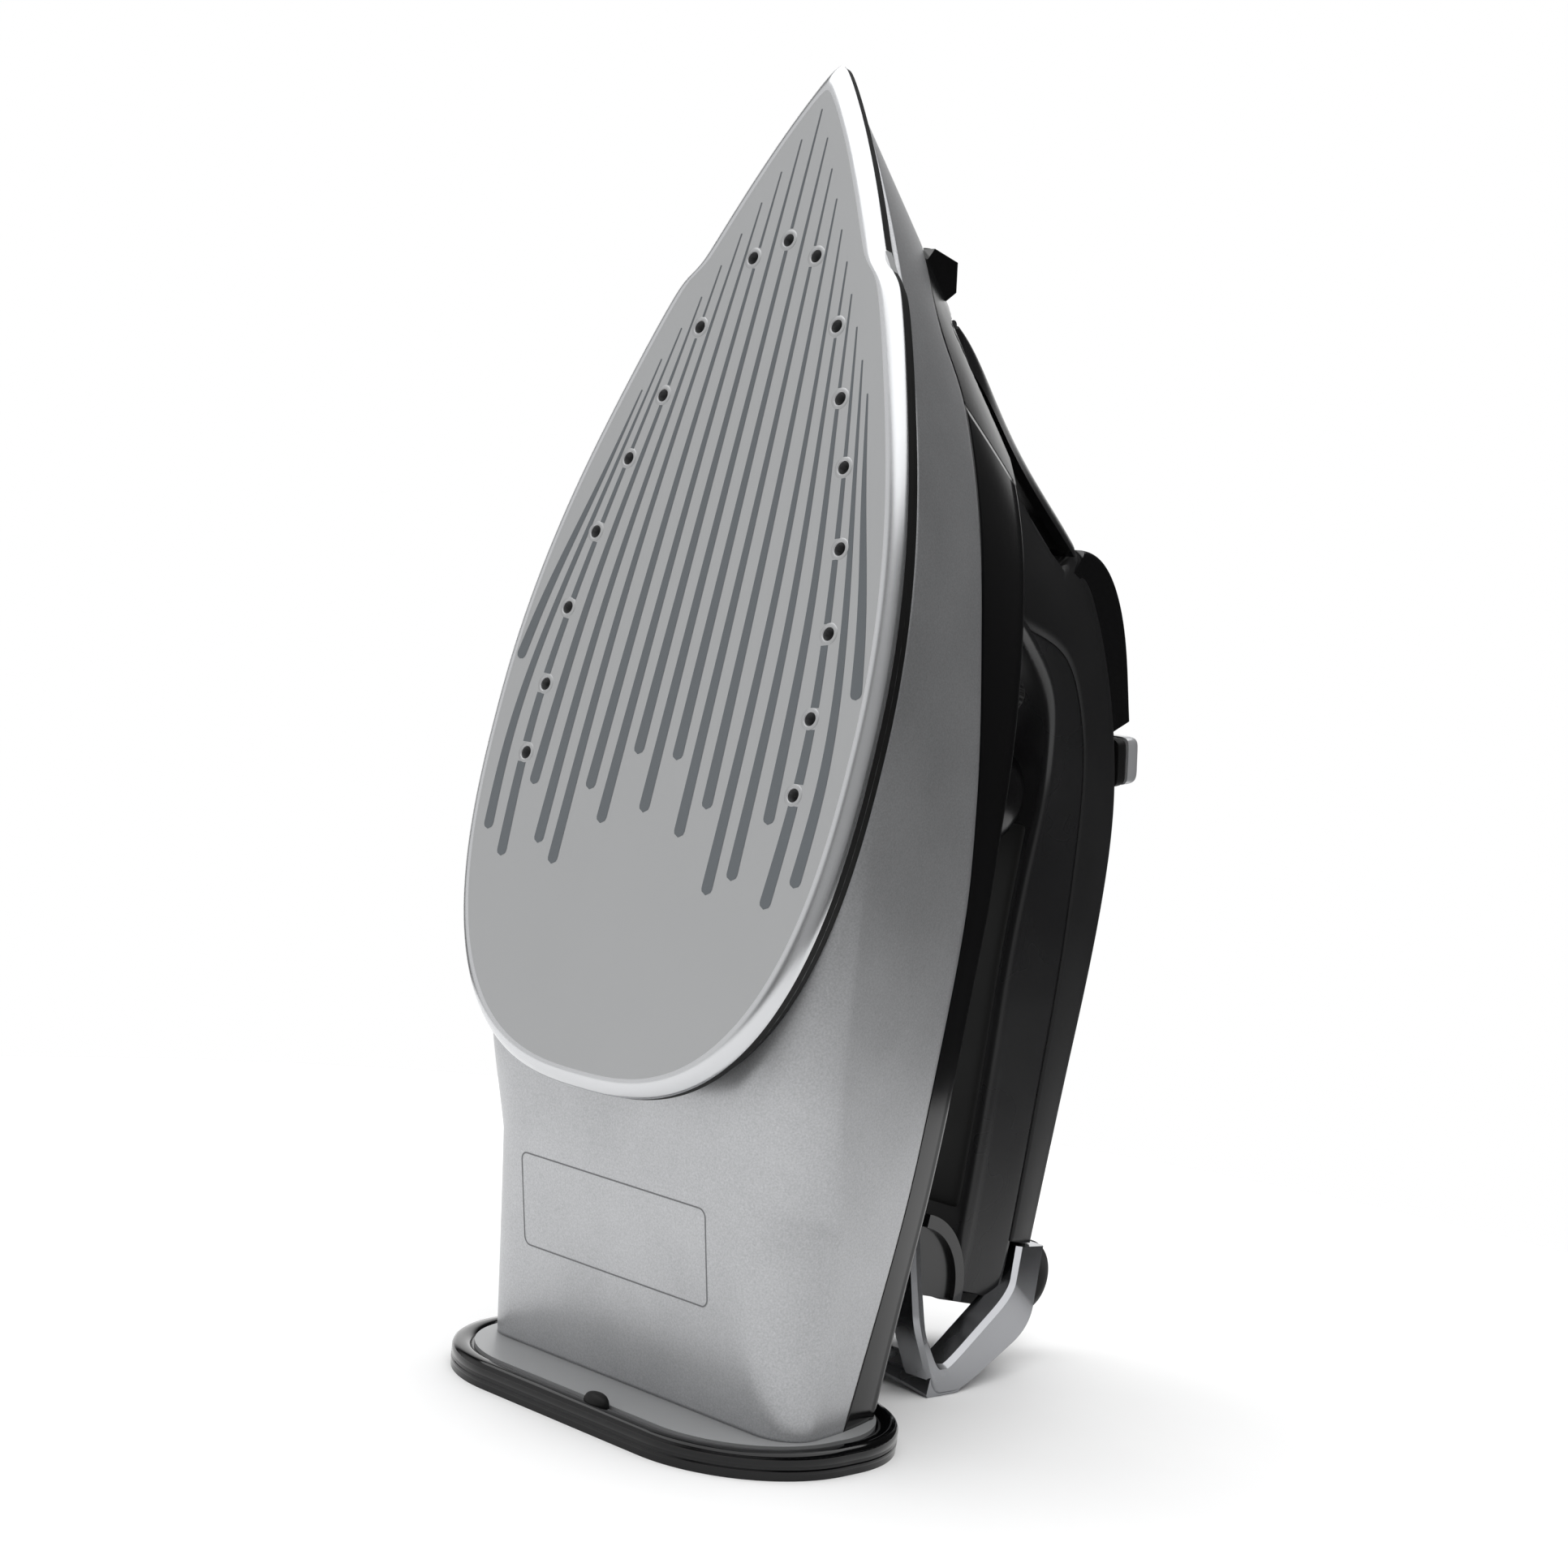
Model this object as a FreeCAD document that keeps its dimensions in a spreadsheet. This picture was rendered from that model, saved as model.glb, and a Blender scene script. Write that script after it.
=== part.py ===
import FreeCAD, Part

import math
import os

import Sketcher
from FreeCAD import Placement, Rotation, Vector

# A steam iron that stands on its heel. Every piece is drawn in the iron's own axes:
#   x  height above the sole face, towards the handle
#   y  towards the iron's right side
#   z  station along the iron, from the heel towards the tip
# and then leans back as one, so that the underside of the heel plate is the XY plane.

doc = FreeCAD.newDocument("clothes_iron")
sheet = doc.addObject("Spreadsheet::Sheet", "Sizes")

SIZES = {
    # stance
    "lean": 11.0,
    "heel_height": 52.5,
    # soleplate
    "sole_width": 118.0,
    "sole_tip": 296.4,
    "sole_rear": 60.8,
    "sole_thick": 5.0,
    "sole_bevel": 2.6,
    "bevel_inset": 3.0,
    "widest_station": 142.0,
    "shoulder_step": 1.3,
    "shoulder_station": 247.0,
    "vent_radius": 1.5,
    # heater
    "casting_inset": 9.0,
    "casting_thick": 10.0,
    "chamber_depth": 5.0,
    "chamber_inset": 22.0,
    "element_radius": 3.4,
    "element_inset": 15.5,
    "element_cover": 0.8,
    "gasket_thick": 0.8,
    "lid_thick": 1.5,
    "shield_inset": 3.2,
    "shield_wall": 3.4,
    "shield_rise": 4.0,
    "thermostat_radius": 11.0,
    "thermostat_rise": 8.0,
    "bracket_length": 52.0,
    "bracket_width": 10.0,
    "bracket_thick": 2.0,
    "fuse_radius": 3.2,
    "fuse_length": 24.0,
    "fuse_station": 105.0,
    # body
    "body_tip": 297.5,
    "nose_rake": 34.6,
    "flank_base": 57.8,
    "flank_lean": 0.12,
    "flank_curve": 0.00088,
    "rear_half": 49.8,
    "tuck": 7.0,
    "tuck_start": 45.0,
    "tuck_span": 30.0,
    "wall": 2.4,
    "heel_slope": 68.4,
    "heel_corner": 70.0,
    # handle
    "arch_wall": 2.6,
    "grip_thick": 3.2,
    "grip_half": 10.5,
    "lens_radius": 2.6,
    "lens_top": 155.6,
    "lens_station": 72.0,
    # front controls
    "button_gap": 1.2,
    "button_half": 13.0,
    "button_travel": 3.0,
    "button_clear": 0.5,
    "button_round": 1.6,
    "plunger_radius": 2.5,
    "plunger_length": 14.0,
    "barrel_radius": 5.0,
    "barrel_length": 8.0,
    "spring_wire": 0.5,
    "spring_radius": 3.9,
    "spring_pitch": 1.1,
    "spring_turns": 4,
    "door_length": 70.0,
    "door_depth": 8.0,
    "door_wall": 2.2,
    "tray_thick": 1.8,
    "lug_half": 1.5,
    "lug_radius": 2.6,
    "channel_depth": 12.5,
    "door_start": 54.0,
    "hinge_radius": 1.2,
    "pin_half": 4.2,
    "nozzle_width": 11.0,
    "nozzle_tip_radius": 2.6,
    "nozzle_bore": 0.6,
    # slider
    "track_width": 31.0,
    "track_length": 15.0,
    "track_thick": 5.0,
    "slider_width": 14.0,
    "slider_length": 12.6,
    "slider_height": 7.0,
    "slider_travel": 15.0,
    "slider_round": 1.4,
    # dial
    "dial_radius": 14.5,
    "dial_station": 152.0,
    "dial_low": 98.5,
    "dial_high": 112.8,
    "dial_grooves": 24,
    "groove_radius": 0.9,
    "shaft_radius": 2.5,
    "pedestal_radius": 12.0,
    "knob_radius": 4.6,
    "knob_station": 172.5,
    "knob_side": 27.0,
    "knob_low": 66.4,
    "knob_rise": 19.0,
    "knob_grooves": 12,
    "knob_groove": 0.6,
    "rod_radius": 1.6,
    "valve_station": 205.0,
    "valve_rod": 1.2,
    "valve_radius": 6.0,
    # tank
    "tank_low": 27.0,
    "tank_clear": 1.2,
    "tank_wall": 1.6,
    "tank_rear": 88.0,
    "tank_length": 150.0,
    "neck_place": 20.0,
    "neck_length": 12.0,
    "neck_radius": 7.5,
    "neck_bore": 5.8,
    "tunnel_clear": 1.5,
    # rear
    "pillar_half": 14.0,
    "pillar_round": 19.0,
    "rim_thick": 1.5,
    "rim_proud": 0.6,
    "pillar_rim": 2.6,
    "tail_bar": 9.0,
    "tail_half": 18.0,
    "tail_flare": 8.0,
    "swivel_radius": 10.2,
    "swivel_side": 1.0,
    "swivel_station": 37.0,
    "swivel_low": 157.6,
    "swivel_thick": 3.0,
    "spigot_length": 8.0,
    "gland_radius": 4.6,
    "gland_offset": 4.5,
    "gland_top": 168.0,
    "gland_round": 1.2,
    "cord_bore": 3.0,
    "spigot_radius": 4.2,
    "ring_bar": 2.3,
    "ring_radius": 7.3,
    "ring_offset": 2.7,
    # heel
    "plate_half_width": 57.1,
    "plate_half_depth": 33.8,
    "plate_corner": 31.2,
    "plate_thick": 4.9,
    "trim_inset": 5.0,
    "trim_thick": 1.0,
    "screw_radius": 1.6,
    "screw_head": 3.4,
    "screw_spread": 30.0,
    "screw_bite": 5.5,
    "head_sink": 0.6,
    "head_thick": 2.0,
    "tab_width": 4.6,
    "tab_length": 8.0,
    "tab_thick": 2.0,
    "tab_rise": 5.0,
    "tab_place": 27.5,
    "block_side": 14.0,
    # clearances
    "fit": 0.3,
    "run": 0.05,
}

for row, (alias, value) in enumerate(SIZES.items(), start=1):
    sheet.set(f"A{row}", alias)
    sheet.set(f"B{row}", str(value))
    sheet.setAlias(f"B{row}", alias)
doc.recompute()


def size(alias):
    return float(sheet.get(alias))


lean = math.radians(size("lean"))
half_sole = size("sole_width") / 2
rake = math.tan(math.radians(size("nose_rake")))
shell_low = size("sole_thick") + size("shield_rise")
casting_top = size("sole_thick") + size("casting_thick")
lid_low = casting_top + size("gasket_thick")
lid_top = lid_low + size("lid_thick")
heel_top = size("plate_thick") + size("trim_thick")
widest = size("widest_station")
wall = size("wall")
fit = size("fit")
run = size("run")

turn = Rotation(Vector(0, 1, 0), size("lean"))
shift = turn.multVec(Vector(-size("heel_height"), 0, 0)) + Vector(0, 0, size("plate_thick"))
standing = Placement(shift, turn)

nodes = []


def feature(label, shape, placement=standing):
    """Keeps a finished shape as one piece of the iron."""
    piece = doc.addObject("Part::Feature", label)
    piece.Shape = shape
    piece.Placement = placement
    nodes.append(piece)
    return piece


# ---------------------------------------------------------------- outlines


def plan_points(inset):
    """Half the sole's outline seen from below, from the rear to the tip, as (y, z)."""
    half = half_sole - inset
    tip = size("sole_tip") - 1.9 * inset
    rear = size("sole_rear") + inset
    points = []
    for k in range(11):
        share = math.cos(math.pi / 2 * k / 10) ** 0.75 if k < 10 else 0.0
        points.append((half * (1 - share**2.6) ** (1 / 2.7), widest - share * (widest - rear)))
    for k in range(1, 17):
        share = (1 - k / 16) ** 1.35
        station = tip - share * (tip - widest)
        ahead = size("shoulder_station") - station
        step = size("shoulder_step") * math.tanh(ahead / 2.5) * math.exp(-((ahead / 22) ** 2))
        y = half * math.sin(math.pi / 2 * share) ** 0.9 if k < 16 else 0.0
        fade = min(1.0, (tip - station) / 20)
        points.append((y + step * fade, station))
    return points


def plan_curve(inset):
    """The closed outline in a sketch's own axes."""
    half = plan_points(inset)
    other = [(-y, z) for y, z in reversed(half[1:-1])]
    curve = Part.BSplineCurve()
    curve.interpolate([Vector(y, z, 0) for y, z in half + other], PeriodicFlag=True)
    return curve


def level_edges(height, inset):
    """The body's outline at one height: a curve round the nose and a straight rear edge."""
    tip = size("body_tip") - rake * height - 1.9 * inset
    half = size("flank_base") - size("flank_lean") * height - size("flank_curve") * height**2 - inset
    tucked = size("tuck") * max(0.0, (height - size("tuck_start")) / size("tuck_span")) ** 2
    rear_half = size("rear_half") - tucked - inset
    rear = -40.0
    points = []
    steps = []
    for share in (1.0, 0.75, 0.5, 0.25, 0.0):
        swell = half - (half - rear_half) * share**1.5
        points.append((swell, widest - share * (widest - rear)))
        steps.append(-1.2 * share)
    for share in (0.88, 0.76, 0.64, 0.52, 0.4, 0.3, 0.2, 0.12, 0.05, 0.015):
        points.append((half * math.sin(math.pi / 2 * share) ** 0.9, tip - share * (tip - widest)))
        steps.append(1 - share)
    points.append((0.0, tip))
    steps.append(1.0)
    loop = points + [(-y, z) for y, z in reversed(points[:-1])]
    steps += [2 - step for step in reversed(steps[:-1])]
    curve = Part.BSplineCurve()
    curve.interpolate([Vector(height, y, z) for y, z in loop], Parameters=steps)
    back = Part.makeLine(curve.EndPoint, curve.StartPoint)
    return Part.Wire([curve.toShape(), back])


def prism(outline, low, high):
    """A closed outline of (x, z) points, as thick as y from low to high."""
    corners = [Vector(x, low, z) for x, z in outline]
    return Part.Face(Part.makePolygon(corners + corners[:1])).extrude(Vector(0, high - low, 0))


def curved_prism(line, rest, half):
    """A smooth line of (x, z) points closed by straight runs, as thick as y from -half to half."""
    curve = Part.BSplineCurve()
    curve.interpolate([Vector(x, -half, z) for x, z in line])
    corners = [Vector(x, -half, z) for x, z in [line[-1]] + rest + [line[0]]]
    wire = Part.Wire([curve.toShape(), Part.makePolygon(corners)])
    return Part.Face(wire).extrude(Vector(0, 2 * half, 0))


def below(level):
    """Everything under a level of the standing iron, in the iron's own axes."""
    box = Part.makeBox(600, 300, 200, Vector(-300, -150, level - 200))
    box.Placement = standing.inverse()
    return box


# ---------------------------------------------------------------- body envelope

deck_line = [(80, 262), (74, 217), (69.5, 199.5), (65, 173), (66, 144), (70.5, 114), (73.8, 79),
             (75, 54), (74, 3), (73, -45)]
band_line = [(46, 229), (46, 198), (49, 158), (54.6, 125), (60.3, 80), (62.7, 54), (61, 29), (58, -1),
             (56, -45)]
nose_line = [(37, 275), (34, 250), (38, 236), (46, 229)]


def heel_wedge(inset):
    """What the sloping underside of the heel takes away."""
    slope = math.radians(size("heel_slope"))
    run_x, run_z = math.cos(slope), math.sin(slope)
    corner_x = shell_low + inset * run_z
    corner_z = size("heel_corner") + inset * run_x
    far = 150.0
    outline = [(corner_x - far * run_x, corner_z + far * run_z),
               (corner_x + far * run_x, corner_z - far * run_z),
               (corner_x - far, corner_z - far), (corner_x - far, corner_z)]
    return prism(outline, -100, 100)


def under_deck(inset):
    line = [(x - inset, z) for x, z in deck_line]
    return curved_prism(line, [(-20, -45), (-20, 330), (80 - inset, 330)], 90)


def body_solid(inset, low):
    """The body's outer form moved in by a wall, open below at a height."""
    heights = [low] + [x for x in (22, 36, 50, 60, 70, 82) if x > low + 4]
    loft = Part.makeLoft([level_edges(x, inset) for x in heights], True, False)
    shaped = loft.common(under_deck(inset)).cut(heel_wedge(inset))
    return shaped.cut(below(heel_top + inset))


outer = body_solid(0, shell_low)
inner = body_solid(wall, shell_low - 1)
skin = outer.cut(inner)

under_band = curved_prism(band_line, [(-20, -45), (-20, 320), (37, 320)] + nose_line[:-1], 90)
nose_zone = prism([(46, 229), (38, 236), (34, 250), (37, 275), (37, 320), (90, 320), (90, 219), (74, 222)],
                  -90, 90)


# ---------------------------------------------------------------- handle arch

# Each rib runs from the handle's outer line to its underside: the two ends as (x, z), then the half
# widths near the outer end, half way and near the underside.
RIB_STEPS = [0, 1, 3, 5, 7, 9, 11, 13, 14]
WIDTH_SHARES = (0.12, 0.5, 0.9)
ribs = [
    ((60, 256), (60, 192), (6.2, 20, 25)),
    ((80, 242.3), (78, 190), (7.5, 19, 24)),
    ((98, 230), (92, 186), (9.5, 18.5, 22)),
    ((115, 218), (106, 178), (13, 18, 20)),
    ((128, 203), (114, 166), (15, 18, 17)),
    ((138, 184), (118, 154), (16, 18, 14.5)),
    ((147, 156), (119.5, 138), (16.5, 18, 14)),
    ((152, 120), (121.5, 113), (16.5, 18, 13.5)),
    ((154, 88), (125, 85), (16.5, 18, 13.5)),
    ((155.5, 47), (129, 46), (16.5, 18, 13.5)),
    ((156, 31), (130, 31), (16.5, 17.5, 13.5)),
]


def rib_wire(rib, inset):
    (x0, z0), (x1, z1), widths = rib
    length = math.hypot(x1 - x0, z1 - z0)
    ax, az = (x1 - x0) / length, (z1 - z0) / length
    span = length - 2 * inset
    half = []
    for share, width in zip(WIDTH_SHARES, widths):
        along = inset + share * span
        half.append((x0 + ax * along, width - inset, z0 + az * along))
    first = Vector(x0 + ax * inset, 0, z0 + az * inset)
    last = Vector(x0 + ax * (length - inset), 0, z0 + az * (length - inset))
    right = [Vector(*point) for point in half]
    left = [Vector(x, -y, z) for x, y, z in reversed(half)]
    curve = Part.BSplineCurve()
    curve.interpolate([first] + right + [last] + left, PeriodicFlag=True, Parameters=RIB_STEPS)
    return Part.Wire(curve.toShape())


def arch_solid(inset):
    """The handle as two lofts that share the rib behind the buttons."""
    wires = [rib_wire(rib, inset) for rib in ribs]
    front_half = Part.makeLoft(wires[:6], True, False)
    rear_half = Part.makeLoft(wires[5:], True, False)
    return front_half.fuse(rear_half)


arch_outer = arch_solid(0)
arch_inner = arch_solid(size("arch_wall"))
arch_skin = arch_outer.cut(arch_inner).cut(outer)

# the edge between the matt upper shell and the gloss underside
split_line = [(90, 186), (97, 194.5), (106.5, 192), (115.5, 184), (122.5, 172), (126.5, 159), (132.5, 129),
              (136.5, 104), (139.5, 74), (141.5, 49), (142, 25)]
below_split = curved_prism(split_line, [(70, 25), (70, 186)], 60)

# front slope frame: along runs up the slope, out points away from it
rake_angle = math.radians(size("nose_rake"))
slope_along = Vector(math.cos(rake_angle), 0, -math.sin(rake_angle))
slope_out = Vector(-slope_along.z, 0, slope_along.x)
slope_start = Vector(size("door_start"), 0, size("body_tip") - rake * size("door_start"))


def slope_block(start, length, depth, half, raised=8.0):
    """A block laid on the front slope, from a depth under the ridge to above it."""
    corner = slope_start + slope_along * start - slope_out * depth
    far = corner + slope_along * length
    lift = slope_out * (depth + raised)
    ends = [corner, far, far + lift, corner + lift]
    return prism([(p.x, p.z) for p in ends], -half, half)


door_seat = slope_block(-fit, size("door_length") + 2 * fit, size("channel_depth"), 30)
front = outer.fuse(arch_outer)

# button block: its side outline as (x, z) and the direction it is pressed in
button_out = Vector(0.73, 0, 0.683)
button_out.normalize()
button_top = [(113, 217.3), (122, 216.8), (132.5, 209), (141, 196), (147.5, 182.5)]
button_base = [(139.5, 176.5), (131, 188), (120, 201), (110, 210)]


def button_block(low, high, grow):
    """The side outline of a button, grown all round, as thick as y from low to high."""
    outline = button_top + button_base
    middle = Vector(sum(x for x, z in outline), 0, sum(z for x, z in outline)) / len(outline)
    grown = []
    for x, z in outline:
        away = Vector(x, 0, z) - middle
        away.multiply(1 + grow / away.Length)
        grown.append(Vector(middle.x + away.x, low, middle.z + away.z))
    crest = len(button_top)
    curve = Part.BSplineCurve()
    curve.interpolate(grown[:crest])
    wire = Part.Wire([curve.toShape(), Part.makePolygon(grown[crest - 1:] + grown[:1])])
    return Part.Face(wire).extrude(Vector(0, high - low, 0))


button_clear = size("button_clear")
well_half = size("button_half") + button_clear
button_rest = button_block(-well_half, well_half, button_clear)
press_depth = size("button_travel") + button_clear
press_steps = 6
button_well = button_rest.copy()
for step in range(1, press_steps + 1):
    pressed = button_rest.copy()
    pressed.translate(button_out * (-press_depth * step / press_steps))
    button_well = button_well.fuse(pressed)

# slider seat on the top of the handle
seat_from, seat_to = Vector(147.2, 0, 163), Vector(142.2, 0, 178)
seat_along = (seat_to - seat_from).normalize()
seat_out = Vector(seat_along.z, 0, -seat_along.x)
seat_turn = Rotation(seat_out, Vector(0, 1, 0), seat_along, "XYZ")
track_base = (seat_from + seat_to) * 0.5 - seat_out * 1.5


def seat_block(low, thick, width, length, side=0.0):
    """A block on the slider's seat: low above the seat, centred across and along it."""
    box = Part.makeBox(thick, width, length, Vector(low, -width / 2, -length / 2))
    box.Placement = Placement(track_base + Vector(0, side, 0), seat_turn)
    return box


track_room = seat_block(0, 12, size("track_width"), size("track_length") + 2 * run)

# ---------------------------------------------------------------- tail frame

# The tail's side bars, as outer and inner (x, z) pairs; the foot lies on the standing level.
floor_rise = math.tan(lean)
floor_zero = -size("plate_thick") / math.cos(lean)


def floor_station(height):
    return (height - size("heel_height")) * floor_rise + floor_zero


tail_pairs = [
    ((156.8, 47), (146.0, 45.5)),
    ((157.3, 28), (148.0, 32)),
    ((154.5, 21), (144.5, 27.5)),
    ((128, floor_station(128) + 0.2), (121.5, 17.5)),
    ((117, floor_station(117)), (114, 15.5)),
    ((104, floor_station(104)), (109.5, 20)),
    ((100.5, 24), (107, 31)),
    ((98.5, 40), (102, 48)),
]


def tail_section(pair, side):
    """One rectangular section across a bar, flared towards the foot."""
    (xo, zo), (xi, zi) = pair
    middle = (zo + zi) / 2
    flare = size("tail_flare") * min(1.0, max(0.0, (47 - middle) / 35))
    far = size("tail_half") + flare
    near = far - size("tail_bar")
    corners = [Vector(xo, side * far, zo), Vector(xi, side * far, zi), Vector(xi, side * near, zi),
               Vector(xo, side * near, zo)]
    return Part.makePolygon(corners + corners[:1])


def tail_bar(side):
    bars = [Part.makeLoft([tail_section(first, side), tail_section(second, side)], True, True)
            for first, second in zip(tail_pairs, tail_pairs[1:])]
    whole = bars[0]
    for bar in bars[1:]:
        whole = whole.fuse(bar)
    return whole


foot_half = size("tail_half") + size("tail_flare")
foot_low, foot_high = 88.0, 117.0
foot_thick = 6.5
foot_chamfer = 1.5
foot = prism([(foot_low, floor_station(foot_low)), (foot_high, floor_station(foot_high)),
              (foot_high - foot_chamfer, floor_station(foot_high) + foot_thick),
              (foot_low, floor_station(foot_low) + foot_thick)], -foot_half, foot_half)
tail = tail_bar(1).fuse(tail_bar(-1)).fuse(foot)
tail_zone = prism([(143.5, 47), (170, 47), (170, 0), (143.5, 0)], -40, 40)

# ---------------------------------------------------------------- sole group


def origin_item(body, role):
    """One of the body's own planes or axes."""
    return next(item for item in body.Origin.OriginFeatures if item.Role == role)


def new_body(label):
    body = doc.addObject("PartDesign::Body", label)
    body.Label = label
    return body


def sketch_on(body, label, role, offset=None):
    """A sketch on one of the body's own planes, lifted by an expression when one is given."""
    sketch = body.newObject("Sketcher::SketchObject", label)
    sketch.AttachmentSupport = [(origin_item(body, role), "")]
    sketch.MapMode = "FlatFace"
    if offset:
        sketch.setExpression(".AttachmentOffset.Base.z", offset)
    return sketch


def pad(body, sketch, length):
    feature_pad = body.newObject("PartDesign::Pad", sketch.Label + "_pad")
    feature_pad.Profile = sketch
    feature_pad.setExpression("Length", length)
    doc.recompute()
    return feature_pad


def pocket(body, sketch, length, reverse=False):
    before = body.Shape.Volume
    cut = body.newObject("PartDesign::Pocket", sketch.Label + "_pocket")
    cut.Profile = sketch
    cut.Reversed = reverse
    cut.setExpression("Length", length)
    doc.recompute()
    if body.Shape.Volume >= before:
        raise RuntimeError(sketch.Label + " cuts nothing")
    return cut


def add_circle(sketch, y, z, radius):
    """A circle of bound radius, held where it is placed."""
    index = sketch.addGeometry(Part.Circle(Vector(y, z, 0), Vector(0, 0, 1), 1.0), False)
    constraint = sketch.addConstraint(Sketcher.Constraint("Radius", index, 1.0))
    sketch.setExpression(f"Constraints[{constraint}]", radius)
    return index


def finish(body, placement=standing):
    body.Placement = placement
    doc.recompute()
    nodes.append(body)
    return body


def plan_slab(label, inset, low, thick):
    """A slab with the sole's outline moved in by an inset."""
    body = new_body(label)
    sketch = sketch_on(body, label + "_outline", "YZ_Plane", low)
    sketch.addGeometry(plan_curve(inset), False)
    pad(body, sketch, thick)
    return body


def ring_pocket(body, label, inset, top, depth):
    sketch = sketch_on(body, label, "YZ_Plane", top)
    sketch.addGeometry(plan_curve(inset), False)
    pocket(body, sketch, depth)


# the steam vents of one side, as (y, z); the first lies on the middle line
vents = [(0.0, 254.0), (9.8, 250.0), (21.3, 233.7), (27.7, 217.3), (33.7, 202.0), (38.4, 184.2),
         (41.2, 165.8), (42.0, 147.4), (42.6, 131.0)]

soleplate = new_body("soleplate")
face_sketch = sketch_on(soleplate, "sole_face", "YZ_Plane")
face_sketch.addGeometry(plan_curve(size("bevel_inset")), False)
rim_sketch = sketch_on(soleplate, "sole_rim", "YZ_Plane", "Sizes.sole_bevel")
rim_sketch.addGeometry(plan_curve(0), False)
bevel = soleplate.newObject("PartDesign::AdditiveLoft", "sole_bevel_loft")
bevel.Profile = face_sketch
bevel.Sections = [(rim_sketch, [""])]
doc.recompute()
pad(soleplate, rim_sketch, "Sizes.sole_thick - Sizes.sole_bevel")
vent_sketch = sketch_on(soleplate, "vents", "YZ_Plane", "Sizes.sole_thick")
for y, z in vents:
    for side in ((1, -1) if y else (1,)):
        add_circle(vent_sketch, side * y, z, "Sizes.vent_radius")
pocket(soleplate, vent_sketch, "Sizes.sole_thick")
finish(soleplate)

element_line = [(y, z) for y, z in plan_points(size("element_inset")) if z > size("sole_rear") + 20]
element_height = casting_top - size("element_radius") - size("element_cover")


def element_path():
    """A hairpin that follows the sole's outline and turns up at both ends."""
    right = [Vector(element_height, y, z) for y, z in element_line]
    left = [Vector(x, -y, z) for x, y, z in reversed(right[:-1])]
    curve = Part.BSplineCurve()
    curve.interpolate((right + left)[::2])
    return Part.Wire(curve.toShape())


def element_tube(radius):
    path = element_path()
    start = path.Edges[0].valueAt(path.Edges[0].FirstParameter)
    direction = path.Edges[0].tangentAt(path.Edges[0].FirstParameter)
    return path.makePipe(Part.Face(Part.Wire(Part.makeCircle(radius, start, direction))))


casting = plan_slab("casting_blank", size("casting_inset"), "Sizes.sole_thick", "Sizes.casting_thick")
ring_pocket(casting, "steam_chamber", size("chamber_inset"), "Sizes.sole_thick + Sizes.casting_thick",
            "Sizes.chamber_depth")
casting_shape = casting.Shape.cut(element_tube(size("element_radius") + run)).cut(heel_wedge(wall + 1))
feature("heater_casting", casting_shape)
feature("heating_element", element_tube(size("element_radius")))

gasket = plan_slab("chamber_gasket", size("chamber_inset") - 4, "Sizes.sole_thick + Sizes.casting_thick",
                   "Sizes.gasket_thick")
ring_pocket(gasket, "gasket_window", size("chamber_inset") + 1,
            "Sizes.sole_thick + Sizes.casting_thick + Sizes.gasket_thick", "Sizes.gasket_thick")
finish(gasket)
finish(plan_slab("chamber_lid", size("chamber_inset") - 4,
                 "Sizes.sole_thick + Sizes.casting_thick + Sizes.gasket_thick", "Sizes.lid_thick"))

shield = plan_slab("heat_shield", size("shield_inset"), "Sizes.sole_thick", "Sizes.shield_rise")
ring_pocket(shield, "shield_window", size("shield_inset") + size("shield_wall"),
            "Sizes.sole_thick + Sizes.shield_rise", "Sizes.shield_rise")
finish(shield)

# ---------------------------------------------------------------- parts on the x axis


def post(radius, low, high, y, z):
    """A cylinder that stands on the sole, between two heights."""
    return Part.makeCylinder(radius, high - low, Vector(low, y, z), Vector(1, 0, 0))


dial_z = size("dial_station")
knob_y = -size("knob_side")
knob_z = size("knob_station")
valve_z = size("valve_station")

thermostat = post(size("thermostat_radius"), lid_top, lid_top + size("thermostat_rise"), 0, dial_z)


def lid_box(thick, width, length, station):
    """A flat box on the chamber lid, centred on the middle line and on a station."""
    return Part.makeBox(thick, width, length, Vector(lid_top, -width / 2, station - length / 2))


bracket_thick = size("bracket_thick")
bracket = lid_box(bracket_thick, size("bracket_width"), size("bracket_length"), dial_z)
feature("thermostat", thermostat.fuse(bracket).removeSplitter())
fuse_length = size("fuse_length")
fuse_start = Vector(lid_top + size("fuse_radius"), -fuse_length / 2, size("fuse_station"))
fuse_body = Part.makeCylinder(size("fuse_radius"), fuse_length, fuse_start, Vector(0, 1, 0))
fuse_foot = lid_box(bracket_thick, fuse_length / 3, fuse_length / 3, size("fuse_station"))
feature("thermal_fuse", fuse_body.fuse(fuse_foot).removeSplitter())

# ---------------------------------------------------------------- shells

nozzle_half = size("nozzle_width") / 2
nozzle_face = 268.2
nozzle = prism([(41, nozzle_face), (49.8, nozzle_face), (51.8, 261.5), (47, 256), (38, 262)],
               -nozzle_half, nozzle_half)
nozzle = nozzle.cut(door_seat)
opening = size("shield_inset") + size("shield_wall")
sole_turn = Rotation(Vector(0, 1, 0), Vector(0, 0, 1), Vector(1, 0, 0), "XYZ")
window = Part.Face(Part.Wire(plan_curve(opening).toShape())).extrude(Vector(0, 0, 2 * wall))
window.Placement = Placement(Vector(shell_low - wall / 2, 0, 0), sole_turn)
flange = outer.common(Part.makeBox(wall, 200, 400, Vector(shell_low, -100, -50))).cut(window)
lower = skin.common(under_band).fuse(flange.common(under_band)).removeSplitter()
shaft_hole = post(size("shaft_radius") + size("tunnel_clear"), 20, 130, 0, dial_z)
rod_hole = post(size("rod_radius") + run, 20, 90, knob_y, knob_z)
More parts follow.
